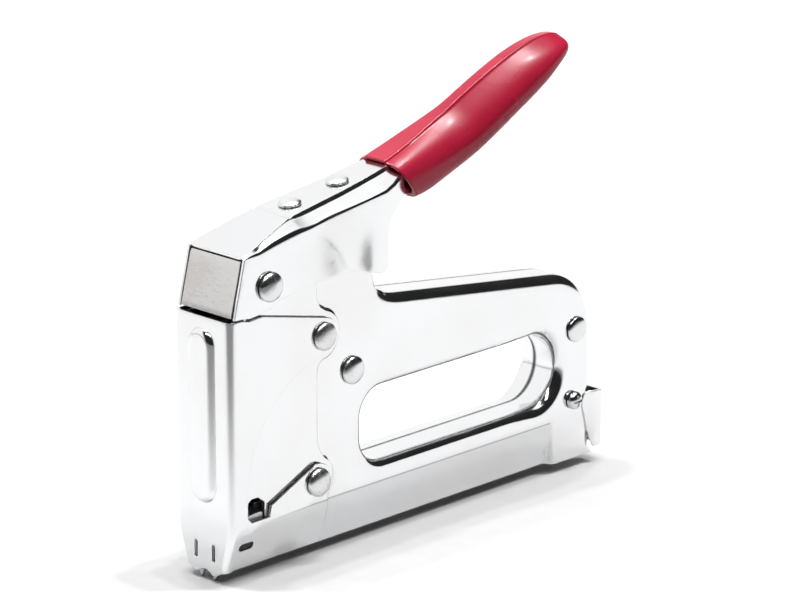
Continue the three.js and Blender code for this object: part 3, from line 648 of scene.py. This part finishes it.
def lever_fold(points):
    """Bends the flat pattern into side, round shoulder, slanted facet and raised top."""
    x, w = points[:, 0], np.abs(points[:, 1])
    side = np.where(points[:, 1] < 0, -1.0, 1.0)
    shoulder, top, flat = spaced(LEVER_TOP, x, 0.35)
    z_side = shoulder - np.maximum(w - SHOULDER - FLAT, 0)
    width = lever_width(x, z_side)
    share = np.clip((SHOULDER + FLAT - w) / SHOULDER, 0, 1)
    growth = 0.16 * smooth(x, 6, 12) + 0.84 * smooth(x, 25, 38)
    step = RIB * growth
    inset = RIB_RUN * growth
    run, rise = width - flat - inset, top - shoulder - step
    facet, slope = math.radians(90 - FACET_TILT), math.tan(math.radians(FACET_TILT))
    radius = (rise - run * slope) / (math.sin(facet) - (1 - math.cos(facet)) * slope)
    radius = np.clip(radius, 0.15, run)
    turn = facet * np.minimum(share / 0.55, 1)
    out, up = width - radius * (1 - np.cos(turn)), z_side + radius * np.sin(turn)
    along = np.clip((share - 0.55) / 0.3, 0, 1)
    out, up = out + (flat + inset - out) * along, up + (top - step - up) * along
    climb = np.clip((share - 0.85) / 0.15, 0, 1)
    out, up = out - inset * climb, up + step * smooth(climb, 0, 1)
    y = np.where(w > FLAT, out, flat * w / FLAT)
    crease = np.where(w < FLAT + 1, CREASE_DEPTH, 0) * np.exp(-(((x - CREASE_X) / CREASE_WIDTH) ** 2))
    z = np.where(w > FLAT, up, top) - crease
    return np.stack([x, side * y, z], 1)


def lever_pattern(x, z):
    """Where a point of the lever's side lies in the flat pattern."""
    shoulder = spaced(LEVER_TOP, np.array([x]), 0.35)[0][0]
    return (x, SHOULDER + FLAT + shoulder - z)


def lever_channel():
    lower = [(2.1, 84.2), (8.2, 83.6), (13, 84), (17.7, 85), (22, 86.9), (30, 88.2), (43, 89.4), (48, 89.8)]
    lower += [(55, 89.1), (61.5, 87.2), (66, 86)] + arc((67.6, 88.3), 2.6, -80, -3, 7)
    lower += [(70.3, 93)] + bezier((70.4, 97.4), (70.9, 101.6), (73, 104.6), (76.9, 106), 8)
    lower += [(82.6, 107.8), (100, 113.6), (110, 118)]
    side = [lever_pattern(x, z) for x, z in lower]
    front = [lever_pattern(x, z) for x, z in [(3.4, 90), (4.8, 95.5), (5.9, 100)]]
    ahead = front + [(6.6, SHOULDER + FLAT), (6.6, FLAT + 3)]
    outline = [(x, -w) for x, w in side] + side[::-1]
    outline += ahead + [(x, -w) for x, w in ahead[::-1]]
    loop = anticlockwise(resampled(outline, 1.3))
    rows = [np.stack([np.linspace(4, 108, 110), np.full(110, sign * w)], 1)
            for w in np.linspace(FLAT, FLAT + SHOULDER, 21) for sign in (-1, 1)]
    cross = np.stack([np.full(20, CREASE_X), np.linspace(-13, 13, 20)], 1)
    slant = [np.stack([SLANT_X - (z - SLANT_Z) * SLANT_LEAN, sign * (SHOULDER + FLAT + 108.4 - z)], 1)
             for z in [np.linspace(90.5, 108, 18)] for sign in (-1, 1)]
    points = interior([loop], 2, [cross, *slant], (-3, -2, -1, -0.3, 0.3, 1, 2, 3))
    rows = np.concatenate(rows)
    rows = rows[inside(rows, [loop])]
    rows = rows[distance(rows, loop) > 0.5]
    keep = (np.abs(points[:, 1]) < FLAT - 0.8) | (np.abs(points[:, 1]) > FLAT + SHOULDER + 0.8)
    points = np.concatenate([points[keep], rows])
    return sheet("lever_channel", [loop], points, lever_fold, THIN, flip=1)


def lever_front():
    """The plate that closes the channel's front, bent over from its top."""
    half = [(11.35, FRONT_FOOT), (11.4, 95), (11.35, 101), (11.1, 102.15)]
    loop = anticlockwise(resampled(half + mirrored(half), 1.2))

    def fold(p):
        z = p[:, 1]
        lean = 1.9 + (z - FRONT_FOOT) * 4.75 / 18.4
        back = 0.9 * smooth(z, 101.6, 103.4)
        return np.stack([lean + back, p[:, 0], z], 1)

    bend = np.stack([np.linspace(-12, 12, 20), np.full(20, 102.4)], 1)
    points = interior([loop], 2, [bend], (-0.6, -0.3, 0, 0.3))
    return sheet("lever_front_plate", [loop], points, fold, 0.9, sheared=0.22, flip=-1)


# The grip along its length: its top and bottom in x and z, and its half-width.
GRIP = [
    (75.6, 119.5, 86.6, 105.4, 11), (86.3, 123.1, 92.4, 106.5, 11), (97, 127, 103, 110.3, 10.9),
    (107.3, 130.9, 113.8, 114.5, 10.8), (117, 135.4, 123.6, 119.2, 10.7), (126, 139.4, 132.8, 124, 10.5),
    (134.5, 142.8, 141, 128.2, 10.2), (142.5, 145.3, 148.8, 132.6, 9.7), (149.5, 146.7, 155.2, 136.6, 8.6),
    (155.6, 147, 159.8, 139.3, 7), (160, 146.2, 162.4, 141, 5), (162.6, 144.6, 163.5, 142.4, 2.4),
]


def through(table, t):
    """A smooth curve through the table's rows, t running from 0 to the last row."""
    table = np.array(table, float)
    i = min(int(t), len(table) - 2)
    f = t - i
    a, b = table[i], table[i + 1]
    before = table[i - 1] if i > 0 else 2 * a - b
    after = table[i + 2] if i + 2 < len(table) else 2 * b - a
    return 0.5 * (2 * a + (b - before) * f + (2 * before - 5 * a + 4 * b - after) * f * f
                  + (3 * a - before - 3 * b + after) * f**3)


def grip_section(flat, shoulder, widest):
    """The grip's section, for a half-width and half-height of 1: a flat top with a bead at each side of
    it, sides that slope down to where they are widest, and a rounded underside."""
    points = [(y, 1.0) for y in np.linspace(0.02, flat - 0.04, 4)]
    points += bezier((flat, 1.0), (flat + 0.05, 1.0), (flat + 0.08, 0.985), (flat + 0.09, 0.94), 6)
    points += bezier((flat + 0.105, 0.905), shoulder, (1.0, widest + 0.5), (1.0, widest), 22)
    points += bezier((1.0, widest - 0.06), (1.0, -0.88), (0.85, -1.0), (0.03, -1.0), 18)
    return np.array(points + mirrored(points))


COLLAR_SECTION = grip_section(0.34, (0.8, 0.8), -0.1)  # round the lever's channel
GRIP_SECTION = grip_section(0.13, (0.5, 0.6), -0.35)  # from the grip's middle to its end


def grip_ring(t, wall):
    """The section at row t of the grip's table, set in from its skin by the wall."""
    top_x, top_z, low_x, low_z, half = through(GRIP, t)
    up = np.array([top_x - low_x, top_z - low_z])
    middle = np.array([top_x + low_x, top_z + low_z]) / 2
    wall = wall + 0.1
    tall = np.linalg.norm(up) / 2 - wall
    up /= np.linalg.norm(up)
    narrowing = smooth(t, 0, 3.5)
    section = COLLAR_SECTION * (1 - narrowing) + GRIP_SECTION * narrowing
    y, v = section[:, 0], section[:, 1]
    return np.stack([middle[0] + up[0] * tall * v, (half - wall) * y, middle[1] + up[1] * tall * v], 1)


def grip_sleeve():
    """The dipped grip: a lining, a rolled edge, the outside and a rounded end."""
    last = len(GRIP) - 1
    stations = [k / 6 for k in range(6 * (last - 3))] + [last - 3 + k / 12 for k in range(12 * 3 + 1)]
    rings = [grip_ring(t, 1.9) for t in np.linspace(6.5, 0.35, 24)]
    rings += [grip_ring(0.1, 1.7), grip_ring(0.03, 1.6)]
    for angle in np.radians([0, 30, 60, 90, 120, 150]):  # the dipped edge is a soft bead
        rings.append(grip_ring(0.03 - 0.03 * math.sin(angle), 0.8 + 0.75 * math.cos(angle)))
    rings += [grip_ring(0.06, 0), grip_ring(0.1, 0.04), grip_ring(0.16, 0.06)]
    rings += [grip_ring(max(t, 0.2), 0.06 * (1 - min(t, 1))) for t in stations if t > 0.2]
    tip = rings[-1]
    centre = tip.mean(0)
    rings += [centre + (tip - centre) * k + np.array([0.35, 0, -0.05]) * (1 - k) for k in (0.8, 0.5, 0.2)]
    return loft("grip", rings)


# ------------------------------------------------------------------ rear latch
def latch():
    """The cap on the magazine's rear end, bent round with an ear on each side of the body."""
    half = [(LATCH_REAR, 0), (LATCH_REAR, 10.2)] + arc((171.6, 10.4), 1.9, 0, 90, 8)[1:]
    half += [(169.1, 12.3)] + bezier((168.7, 12.3), (168, 12.25), (167.2, 11.6), (166.6, 11.35), 6)
    half += [(163.6, 11.3)]
    path = np.array(half)
    along = np.concatenate([[0], np.cumsum(np.linalg.norm(np.diff(path, axis=0), axis=1))])

    def fold(p):
        s = np.abs(p[:, 0])
        side = np.where(p[:, 0] < 0, -1.0, 1.0)
        x, y = np.interp(s, along, path[:, 0]), np.interp(s, along, path[:, 1])
        return np.stack([x, side * y, p[:, 1]], 1)

    def at(x, z):
        return (float(np.interp(-x, -path[5:, 0], along[5:])), z)

    ear = [(168.6, 2.4), (167.4, 4.4), (164, 17.6), (163.8, 19.4)]
    ear += [(164.6, 21.4), (166.6, 22.3), (169.6, 22.2)]
    top = [at(x, z) for x, z in ear]
    half = [(along[3], 2.3)] + top + [(along[3], 21.9), (0.1, 21.8)]
    loop = anticlockwise(resampled(half + mirrored(half), 0.7))
    across = np.concatenate([along, -along])
    heights = np.linspace(3, 21.4, 26)
    rows = np.stack([np.repeat(across, len(heights)), np.tile(heights, len(across))], 1)
    points = rows[inside(rows, [loop])]
    points = points[distance(points, loop) > 0.3]
    points = np.unique(np.round(points, 4), axis=0)
    return sheet("latch_cap", [loop], points, fold, THIN)


# ------------------------------------------------------------------ rivets
def dome(radius, height, shank=2.2):
    """Half of a rivet's profile above its seat, from its shank to the middle of its head."""
    rim = height * 0.2
    edge = [(radius - 0.35, 0), (radius - 0.08, 0.1), (radius, rim)]
    cap = []
    for angle in np.radians(np.linspace(8, 90, 12)):
        cap.append((radius * math.cos(angle), rim + (height - rim) * math.sin(angle) ** 0.92))
    return [(shank, 0), *edge, *cap]


def cross_rivet(name, at, seat, radius, height):
    """A rivet through the body, with a head on each side."""
    half = dome(radius, height)
    left = [(r, -seat - h) for r, h in half][::-1]
    right = [(r, seat + h) for r, h in half]
    return lathe(name, left + right, (at[0], 0, at[1]))


def stud():
    """The latch's stud, with a crossed slot in each head."""
    piece = cross_rivet("latch_stud_turned", LATCH_STUD, SIDE + 0.25, 3.1, 2.8)
    x, z = LATCH_STUD
    tools = []
    for side in (-1, 1):
        near, far = sorted((side * 12.9, side * 16))
        for long, tall in ((1.9, 0.42), (0.42, 1.9)):
            tools.append(box(x - long, x + long, near, far, z - tall, z + tall))
    return cut(piece, tools, 30)


def top_rivet(name, x):
    """A rivet through the lever's top, tilted to its slope."""
    top = spaced(LEVER_TOP, np.array([x]), 0.35)[1]
    rise = spaced(LEVER_TOP, np.array([x - 3, x + 3]))[1]
    slope = math.atan2(rise[1] - rise[0], 6)
    profile = [(0, -4.4), (2.7, -4.1), (2.9, -3.2), (1.6, -3.2)]
    profile += [(1.6, 0.05), (3.3, 0.05), (3.7, 0.2), (3.8, 0.5)]
    profile += [(3.75 * math.cos(a), 0.5 + 1.15 * math.sin(a)) for a in np.radians(np.linspace(10, 90, 10))]
    piece = lathe(name, profile, (0, 0, 0), "z")
    tilt = Matrix.Rotation(-slope, 4, "Y")
    home = Vector((NOSE_X + x * MM, 0, FOOT_Z + top[0] * MM))
    origin = Vector((NOSE_X, 0, FOOT_Z))
    piece.data.transform(Matrix.Translation(home) @ tilt @ Matrix.Translation(-origin))
    return piece


# ------------------------------------------------------------------ springs
def coil(name, centre, axis, radius, wire, turns, length, sides=12, per_turn=28):
    """A compression spring with close-wound ends, round x or z from its start point."""
    count = turns * per_turn
    t = np.linspace(0, 1, count + 1)
    ends = 0.75 / turns
    pitch = np.where((t < ends) | (t > 1 - ends), 0.3, 1.0)
    rise = np.concatenate([[0], np.cumsum((pitch[1:] + pitch[:-1]) / 2)])
    rise = wire + rise / rise[-1] * (length - 2 * wire)
    angle = 2 * math.pi * turns * t
    line = np.stack([radius * np.cos(angle), radius * np.sin(angle), rise], 1)
    along = np.gradient(line, axis=0)
    along /= np.linalg.norm(along, axis=1)[:, None]
    out = np.stack([np.cos(angle), np.sin(angle), 0 * angle], 1)
    other = np.cross(along, out)
    turns_round = np.linspace(0, 2 * math.pi, sides, endpoint=False)
    rings = []
    for point, u, v in zip(line, out, other):
        ring = [point + wire * (u * math.cos(a) + v * math.sin(a)) for a in turns_round]
        rings.append(np.array(ring))
    if axis == "x":
        rings = [ring[:, [2, 0, 1]] for ring in rings]
    return loft(name, [ring + np.array(centre) for ring in rings])


# ------------------------------------------------------------------ materials
def material(name):
    made = bpy.data.materials.new(name)
    made.use_nodes = True
    tree = made.node_tree
    return made, tree, tree.nodes["Principled BSDF"]


def fill_in(tree, inputs, made):
    """Sets or links a node's inputs."""
    for key, value in dict(inputs).items():
        if isinstance(value, bpy.types.NodeSocket):
            tree.links.new(value, made.inputs[key])
        else:
            made.inputs[key].default_value = value


def node(tree, kind, inputs=(), **settings):
    """Adds a node, sets its properties, and sets or links its inputs."""
    made = tree.nodes.new(kind)
    for key, value in settings.items():
        setattr(made, key, value)
    fill_in(tree, inputs, made)
    return made


def noise(tree, scale, detail=3, stretch=(1, 1, 1), roughness=0.5):
    where = node(tree, "ShaderNodeTexCoord")
    mapped = node(tree, "ShaderNodeMapping", {"Vector": where.outputs["Object"], "Scale": stretch})
    return node(tree, "ShaderNodeTexNoise", {
        "Vector": mapped.outputs["Vector"], "Scale": scale, "Detail": detail, "Roughness": roughness,
    }).outputs["Fac"]


def ramp(tree, value, low, high, to_low, to_high):
    return node(tree, "ShaderNodeMapRange", {
        "Value": value, "From Min": low, "From Max": high, "To Min": to_low, "To Max": to_high,
    }, interpolation_type="SMOOTHSTEP").outputs["Result"]


def math_node(tree, operation, a, b):
    return node(tree, "ShaderNodeMath", {0: a, 1: b}, operation=operation).outputs[0]


def dot(tree, a, b):
    return node(tree, "ShaderNodeVectorMath", {0: a, 1: b}, operation="DOT_PRODUCT").outputs["Value"]


def mix_colour(tree, share, a, b):
    return node(tree, "ShaderNodeMix", {6: a, 7: b, 0: share}, data_type="RGBA").outputs[2]


def bump(tree, height, distance, strength=1.0, normal=None):
    inputs = {"Height": height, "Distance": distance, "Strength": strength}
    if normal is not None:
        inputs["Normal"] = normal
    return node(tree, "ShaderNodeBump", inputs).outputs["Normal"]


def edges(tree, radius):
    """A rounded normal at sharp edges, and a mask that is 1 on them."""
    rounded = node(tree, "ShaderNodeBevel", {"Radius": radius}, samples=6).outputs["Normal"]
    plain = node(tree, "ShaderNodeNewGeometry").outputs["Normal"]
    return rounded, ramp(tree, dot(tree, rounded, plain), 0.999, 0.9, 0, 1)


def coordinate(tree, axis):
    """The place along one axis, in metres."""
    where = node(tree, "ShaderNodeTexCoord").outputs["Object"]
    return node(tree, "ShaderNodeSeparateXYZ", {"Vector": where}).outputs[axis]


def line_mask(tree, axis, middle, half_width):
    """1 along a plane across one axis of the piece, fading to 0 at half_width from it, in metres."""
    away = math_node(tree, "ABSOLUTE", math_node(tree, "SUBTRACT", coordinate(tree, axis), middle), 0)
    return ramp(tree, away, half_width * 0.4, half_width, 1, 0)


def plated(name, colour, rough, wave=1.0, scratch=1.0, stretch=(1, 1, 30), edge_radius=0.00022, painted_shade=()):
    """Bright plate over pressed steel: soft waviness, fine draw lines, wear on edges, painted shade along
    seam and fold lines.
    """
    made, tree, shader = material(name)
    smudge = noise(tree, 38, 4)
    cloud = noise(tree, 9, 2)
    lines = noise(tree, 240, 5, stretch, 0.65)
    pits = noise(tree, 2600, 2)
    rounded, worn = edges(tree, edge_radius)
    dull = tuple(c * 0.84 for c in colour[:3]) + (1,)
    warm = (colour[0] * 0.97, colour[1] * 0.95, colour[2] * 0.92, 1)
    tone = mix_colour(tree, ramp(tree, smudge, 0.42, 0.72, 0, 0.5), (*colour[:3], 1), warm)
    tone = mix_colour(tree, ramp(tree, cloud, 0.35, 0.75, 0, 0.25), tone, dull)
    tone = mix_colour(tree, math_node(tree, "MULTIPLY", worn, 0.45), tone, (0.5, 0.5, 0.51, 1))
    # Painted shade: each line darkens the colour towards near black, broken up by the draw lines.
    for axis, middle, half_width, strength, rear in painted_shade:
        seam_shade = line_mask(tree, axis, middle, half_width)
        ahead = ramp(tree, coordinate(tree, "X"), rear - 0.002, rear, 1, 0)
        seam_shade = math_node(tree, "MULTIPLY", seam_shade, ahead)
        seam_shade = math_node(tree, "MULTIPLY", seam_shade, ramp(tree, lines, 0.25, 0.6, strength * 0.7, strength))
        tone = mix_colour(tree, seam_shade, tone, (0.03, 0.028, 0.026, 1))
    smudged = ramp(tree, smudge, 0.35, 0.75, rough * 0.75, rough * 1.6)
    gloss = math_node(tree, "ADD", smudged, math_node(tree, "MULTIPLY", worn, 0.12))
    gloss = math_node(tree, "ADD", gloss, ramp(tree, lines, 0.4, 0.8, 0, rough * 0.8))
    wavy = bump(tree, noise(tree, 55, 2), 0.00012 * wave, 0.5, rounded)
    lined = bump(tree, lines, 0.000012 * scratch, 0.6, wavy)
    normal = bump(tree, pits, 0.000003 * scratch, 0.5, lined)
    fill_in(tree, {"Base Color": tone, "Roughness": gloss, "Metallic": 1, "Normal": normal}, shader)
    return made


def steel(name, colour, rough, grain=(1, 1, 20), oil=0.3):
    """Plain or oiled inner steel with machining lines and darker patches."""
    made, tree, shader = material(name)
    lines = noise(tree, 420, 5, grain, 0.7)
    patch = noise(tree, 70, 4)
    rounded, worn = edges(tree, 0.00025)
    dark = tuple(c * 0.55 for c in colour[:3]) + (1,)
    tone = mix_colour(tree, ramp(tree, patch, 0.4, 0.7, 0, oil * 2), (*colour[:3], 1), dark)
    tone = mix_colour(tree, math_node(tree, "MULTIPLY", worn, 0.6), tone, (0.7, 0.7, 0.7, 1))
    patchy = ramp(tree, patch, 0.3, 0.7, rough * 0.7, rough * 1.3)
    gloss = math_node(tree, "ADD", patchy, ramp(tree, lines, 0.3, 0.8, 0, 0.12))
    normal = bump(tree, lines, 0.00003, 0.5, rounded)
    fill_in(tree, {"Base Color": tone, "Roughness": gloss, "Metallic": 1, "Normal": normal}, shader)
    return made


def vinyl(name):
    """Glossy dipped vinyl: deep red, faintly uneven, with fine pits and a few dull scuffs."""
    made, tree, shader = material(name)
    cloud = noise(tree, 30, 3)
    peel = noise(tree, 210, 2)
    pits = noise(tree, 1500, 3)
    scuffs = noise(tree, 180, 5, (1, 6, 2), 0.7)
    deep, bright = (0.26, 0.007, 0.024, 1), (0.31, 0.01, 0.032, 1)
    tone = mix_colour(tree, ramp(tree, cloud, 0.3, 0.7, 0, 1), deep, bright)
    tone = mix_colour(tree, ramp(tree, scuffs, 0.66, 0.8, 0, 0.18), tone, (0.72, 0.12, 0.15, 1))
    clouded = ramp(tree, cloud, 0.3, 0.7, 0.24, 0.31)
    gloss = math_node(tree, "ADD", clouded, ramp(tree, scuffs, 0.6, 0.85, 0, 0.2))
    soft = bump(tree, peel, 0.00009, 0.35)
    fill_in(tree, {
        "Base Color": tone, "Roughness": gloss, "Normal": bump(tree, pits, 0.000012, 0.3, soft),
        "Coat Weight": 0.06, "Coat Roughness": 0.12, "Specular IOR Level": 0.22,
        "Subsurface Weight": 0.08, "Subsurface Radius": (0.004, 0.0008, 0.0008),
    }, shader)
    return made


def fibre(name):
    """Dull brown pressed fibre with fine strands."""
    made, tree, shader = material(name)
    strands = noise(tree, 600, 6, (1, 1, 4), 0.7)
    dark, light = (0.05, 0.035, 0.025, 1), (0.14, 0.1, 0.07, 1)
    tone = mix_colour(tree, ramp(tree, strands, 0.3, 0.7, 0, 1), dark, light)
    gloss = ramp(tree, strands, 0.3, 0.7, 0.7, 0.95)
    normal = bump(tree, strands, 0.00012, 0.7)
    fill_in(tree, {"Base Color": tone, "Roughness": gloss, "Normal": normal}, shader)
    return made


def paper(name):
    """The pale floor, with a hardly visible grain."""
    made, tree, shader = material(name)
    grain = noise(tree, 90, 4)
    dark, light = (0.455, 0.455, 0.455, 1), (0.47, 0.47, 0.47, 1)
    tone = mix_colour(tree, ramp(tree, grain, 0.3, 0.7, 0, 1), dark, light)
    normal = bump(tree, noise(tree, 900, 3), 0.00002, 0.3)
    fill_in(tree, {"Base Color": tone, "Roughness": 0.7, "Normal": normal}, shader)
    return made


# ------------------------------------------------------------------ assembly
def dress(piece, look, body=None, replaces=()):
    """Gives a piece its look, material slot and body, and hides the CAD nodes that it stands for."""
    piece.data.materials.clear()
    piece.data.materials.append(look)
    if body:
        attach(piece, body)
    if replaces:
        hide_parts(*replaces)
    return piece


def rounded_cad(name, look, width=0.25, segments=2):
    """A CAD node that stays, with its edges broken and its own finish."""
    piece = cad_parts[name]
    piece.data.materials.clear()
    piece.data.materials.append(look)
    shade(piece, 35)
    weld = piece.modifiers.new("joined points", "WELD")
    weld.merge_threshold = 1e-6
    edge = piece.modifiers.new("broken edges", "BEVEL")
    edge.width = width * MM
    edge.segments = segments
    edge.limit_method = "ANGLE"
    edge.angle_limit = math.radians(40)
    edge.harden_normals = True
    return piece


CHROME = (0.77, 0.775, 0.785)
seam_and_fold_shade = [  # axis, place, half-width, darkness and the rear end of each line of painted shade, at the halves' seam and the strip's fold
    ("Y", (SEAM + 0.2) * MM, 0.0019, 1.0, 1.0),
    ("Z", FOOT_Z + STRIP_TOP * MM, 0.0004, 0.45, NOSE_X + STRIP_REAR * MM),
]
chrome_body = plated("chromed body", CHROME, 0.1, 1.0, 1.0, (1, 1, 26), painted_shade=seam_and_fold_shade)
chrome_nose = plated("chromed nose plate", CHROME, 0.09, 0.7, 0.8, (24, 24, 1))
chrome_lever = plated("chromed lever", CHROME, 0.11, 1.0, 1.2, (1, 18, 18))
# The lever's front plate gets a darker, warmer copy of the chrome: painted shade.
shaded_chrome_front = plated("chromed lever front with painted shade", (0.6, 0.585, 0.58), 0.2, 0.8, 1.2, (20, 1, 1))
chrome_latch = plated("chromed latch", CHROME, 0.12, 0.6, 1.0, (20, 20, 1))
chrome_rivet = plated("plated rivets", (0.68, 0.685, 0.695), 0.2, 2.2, 2.0, (1, 1, 1), 0.00018)
inner = steel("zinc-plated steel", (0.55, 0.55, 0.55), 0.34)
oiled = steel("oiled dark steel", (0.17, 0.17, 0.18), 0.36, (20, 1, 1), 0.4)
wire = steel("galvanised wire", (0.62, 0.62, 0.63), 0.28, (1, 30, 1), 0.15)

dress(body_half("left_pressing", -1, 0), chrome_body, "body", ["left_shell"])
dress(body_half("right_pressing", 1, LAP), chrome_body, "body", ["right_shell"])
dress(nose_plate(), chrome_nose, "body", ["nose_plate"])
dress(guide_plate(), inner, "body", ["guide_plate"])
dress(lever_channel(), chrome_lever, "handle", ["lever"])
dress(lever_front(), shaded_chrome_front, "handle")
dress(grip_sleeve(), vinyl("red vinyl"), "handle", ["grip_sleeve"])
dress(latch(), chrome_latch, "magazine", ["rear_latch"])

for name, at, seat, radius, height in (
    ("pivot_rivet", PIVOT, SKIN + 0.3, 4.8, 2.6),
    ("upper_rivet", UPPER_RIVET, SKIN + 0.25, 4.6, 2.1),
    ("middle_rivet", MIDDLE_RIVET, SIDE + 0.25, 4.6, 2.1),
    ("lower_rivet", LOWER_RIVET, SKIN + 0.25, 4.7, 2.4),
    ("rear_rivet", REAR_RIVET, SIDE + 0.25, 4.4, 1.5),
):
    dress(cross_rivet(name + "_turned", at, seat, radius, height), chrome_rivet, "body", [name])
dress(stud(), chrome_rivet, "body", ["latch_stud"])
for number, x in ((1, 38.3), (2, 59.2)):
    dress(top_rivet(f"top_rivet_{number}", x), chrome_rivet, "handle", [f"lever_rivet_{number}"])

main_low, main_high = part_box("main_spring")
main_start = (9, 0, (main_low.z - FOOT_Z) / MM)
main_length = (main_high.z - main_low.z) / MM
spring = coil("main_coil", main_start, "z", radius=4.6, wire=0.8, turns=6, length=main_length)
dress(spring, oiled, "hammer", ["main_spring"])
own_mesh(spring)
push_low, push_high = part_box("pusher_spring")
push_start = ((push_low.x - NOSE_X) / MM, 0, ((push_low.z + push_high.z) / 2 - FOOT_Z) / MM)
push_length = (push_high.x - push_low.x) / MM
feeder = coil("pusher_coil", push_start, "x", radius=1.95, wire=0.3, turns=24, length=push_length,
              sides=8, per_turn=20)
dress(feeder, oiled, "magazine", ["pusher_spring"])
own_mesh(feeder)

for side in (-1, 1):
    tab = prism(WINDOW_TAB, *sorted((side * TAB_OUTER, side * TAB_INNER)))
    tab.name = "window_tab_left" if side < 0 else "window_tab_right"
    shade(tab, 30)
    dress(tab, inner, "body")

plain_steel = ("guide_bracket", "spring_seat", "staple_rail", "pusher", "pusher_rod", "lever_liner")
for name in (*plain_steel, "driver_blade"):
    rounded_cad(name, inner, 0.2)
for name in ("roller_pin", "lifting_lever", "plunger"):
    rounded_cad(name, oiled, 0.4, 3)
rounded_cad("staple_strip", wire, 0.15)
rounded_cad("bumper", fibre("pressed fibre"), 0.5, 3)


# ------------------------------------------------------------------ stage, lights and camera
FLOOR_REACH = 6
WHITE_LIGHT = 1.17  # strength of the white wall and ceiling
DIM_LIGHT = 0.02  # strength of the room round them


def plane(name, corners, look):
    mesh = bpy.data.meshes.new(name)
    mesh.from_pydata(corners, [], [(0, 1, 2, 3)])
    made = linked(name, mesh)
    mesh.materials.append(look)
    return made


floor_corners = [(x * FLOOR_REACH, y * FLOOR_REACH, 0) for x, y in ((-1, -1), (1, -1), (1, 1), (-1, 1))]
plane("floor", floor_corners, paper("pale floor"))


def spot_light(name, at, target, angle, blend, radius, power):
    data = bpy.data.lights.new(name, "SPOT")
    data.spot_size = math.radians(angle)
    data.spot_blend = blend
    data.shadow_soft_size = radius
    data.energy = power
    lamp = linked(name, data)
    lamp.location = at
    lamp.rotation_mode = "QUATERNION"
    lamp.rotation_quaternion = (Vector(target) - Vector(at)).to_track_quat("-Z", "Y")
    return lamp


def studio():
    """A dim room with one white wall, on the tool's right, and a white ceiling behind the tool."""
    world = bpy.data.worlds.new("studio")
    bpy.context.scene.world = world
    world.use_nodes = True
    tree = world.node_tree
    where = node(tree, "ShaderNodeTexCoord").outputs["Generated"]
    right = dot(tree, where, (-0.1, 0.995, 0))
    wall = ramp(tree, right, 0.3, 0.46, DIM_LIGHT, WHITE_LIGHT)
    facing = node(tree, "ShaderNodeSeparateXYZ", {"Vector": where})
    ceiling = ramp(tree, facing.outputs["Z"], 0.71, 0.77, 0, WHITE_LIGHT)
    ceiling = math_node(tree, "MULTIPLY", ceiling, ramp(tree, facing.outputs["X"], 0.15, 0.35, 0, 1))
    back = tree.nodes["Background"]
    tree.links.new(math_node(tree, "MAXIMUM", wall, ceiling), back.inputs["Strength"])
    back.inputs["Color"].default_value = (1, 1, 1, 1)


studio()
LAMPS = 9
LAMP_SPREAD = 3.4
LAMP_LIFT = 3.5
LAMP_POWER = 124
LAMP_HALF_ANGLE = math.radians(28)
LAMP_BLEND = 0.22
LAMP_RADIUS = 0.05
LIT_EDGE = 0.3  # how far in front of the tool the row's light ends on the floor
FILLS = 3
FILL_SPACING = 1.1
FILL_POWER = 42
FILL_LIFT = 3.0
FILL_AHEAD = 1.6
FILL_CONE = 120
FILL_RADIUS = 0.25
ACROSS = Vector((0.702, -0.712, 0))  # level, to the right in the camera's view
AWAY = Vector((0.712, 0.702, 0))  # level, away from the camera


def lamp_row():
    """A row of small lamps high over the tool. All their cones fade out at one line on the floor, in front
    of the tool, and the fill lamps light the floor beyond it."""
    edge_point = ACROSS * 0.05 - AWAY * LIT_EDGE
    for number in range(LAMPS):
        spread = (number / (LAMPS - 1) - 0.5) * LAMP_SPREAD
        behind = 0.1 + 0.16 * (number % 2)
        lamp = ACROSS * (spread + 0.3) + AWAY * behind + Vector((0, 0, LAMP_LIFT))
        ray = (edge_point - lamp).normalized()
        inward_side = ACROSS.cross(ray).normalized()
        if inward_side.dot(AWAY) < 0:
            inward_side.negate()
        middle = ray * math.cos(LAMP_HALF_ANGLE) + inward_side * math.sin(LAMP_HALF_ANGLE)
        cone = 2 * math.degrees(LAMP_HALF_ANGLE)
        target = lamp + middle
        spot_light(f"lamp_{number + 1}", lamp, target, cone, LAMP_BLEND, LAMP_RADIUS, LAMP_POWER)


def fill_lamps():
    """Weaker lamps in front of the tool, with wide cones, that light the floor beyond the row's edge and
    soften the tool's shadow."""
    for number in range(FILLS):
        spread = (number - (FILLS - 1) / 2) * FILL_SPACING
        lamp = ACROSS * spread - AWAY * FILL_AHEAD + Vector((0, 0, FILL_LIFT))
        spot_light(f"fill_{number + 1}", lamp, (0, 0, 0), FILL_CONE, 1.0, FILL_RADIUS, FILL_POWER)


lamp_row()
fill_lamps()

CAMERA_PLACE = (-870.5, -944.8, 486.1)  # in the drawing's own millimetres
CAMERA_LENS, CAMERA_SENSOR = 195.6, 36
CAMERA_RIGHT = Vector((0.70215, -0.71203, 0))
CAMERA_UP = Vector((0.21055, 0.20763, 0.95530))
camera_data = bpy.data.cameras.new("camera")
camera_data.lens = CAMERA_LENS
camera_data.sensor_width = CAMERA_SENSOR
camera_data.clip_end = 50
camera = linked("camera", camera_data)
turn = Matrix((CAMERA_RIGHT, CAMERA_UP, CAMERA_RIGHT.cross(CAMERA_UP))).transposed().to_4x4()
place = Vector(CAMERA_PLACE) * MM + Vector((NOSE_X, 0, FOOT_Z))
camera.matrix_world = Matrix.Translation(place) @ turn
bpy.context.scene.camera = camera
bpy.context.scene.view_settings.view_transform = "Standard"
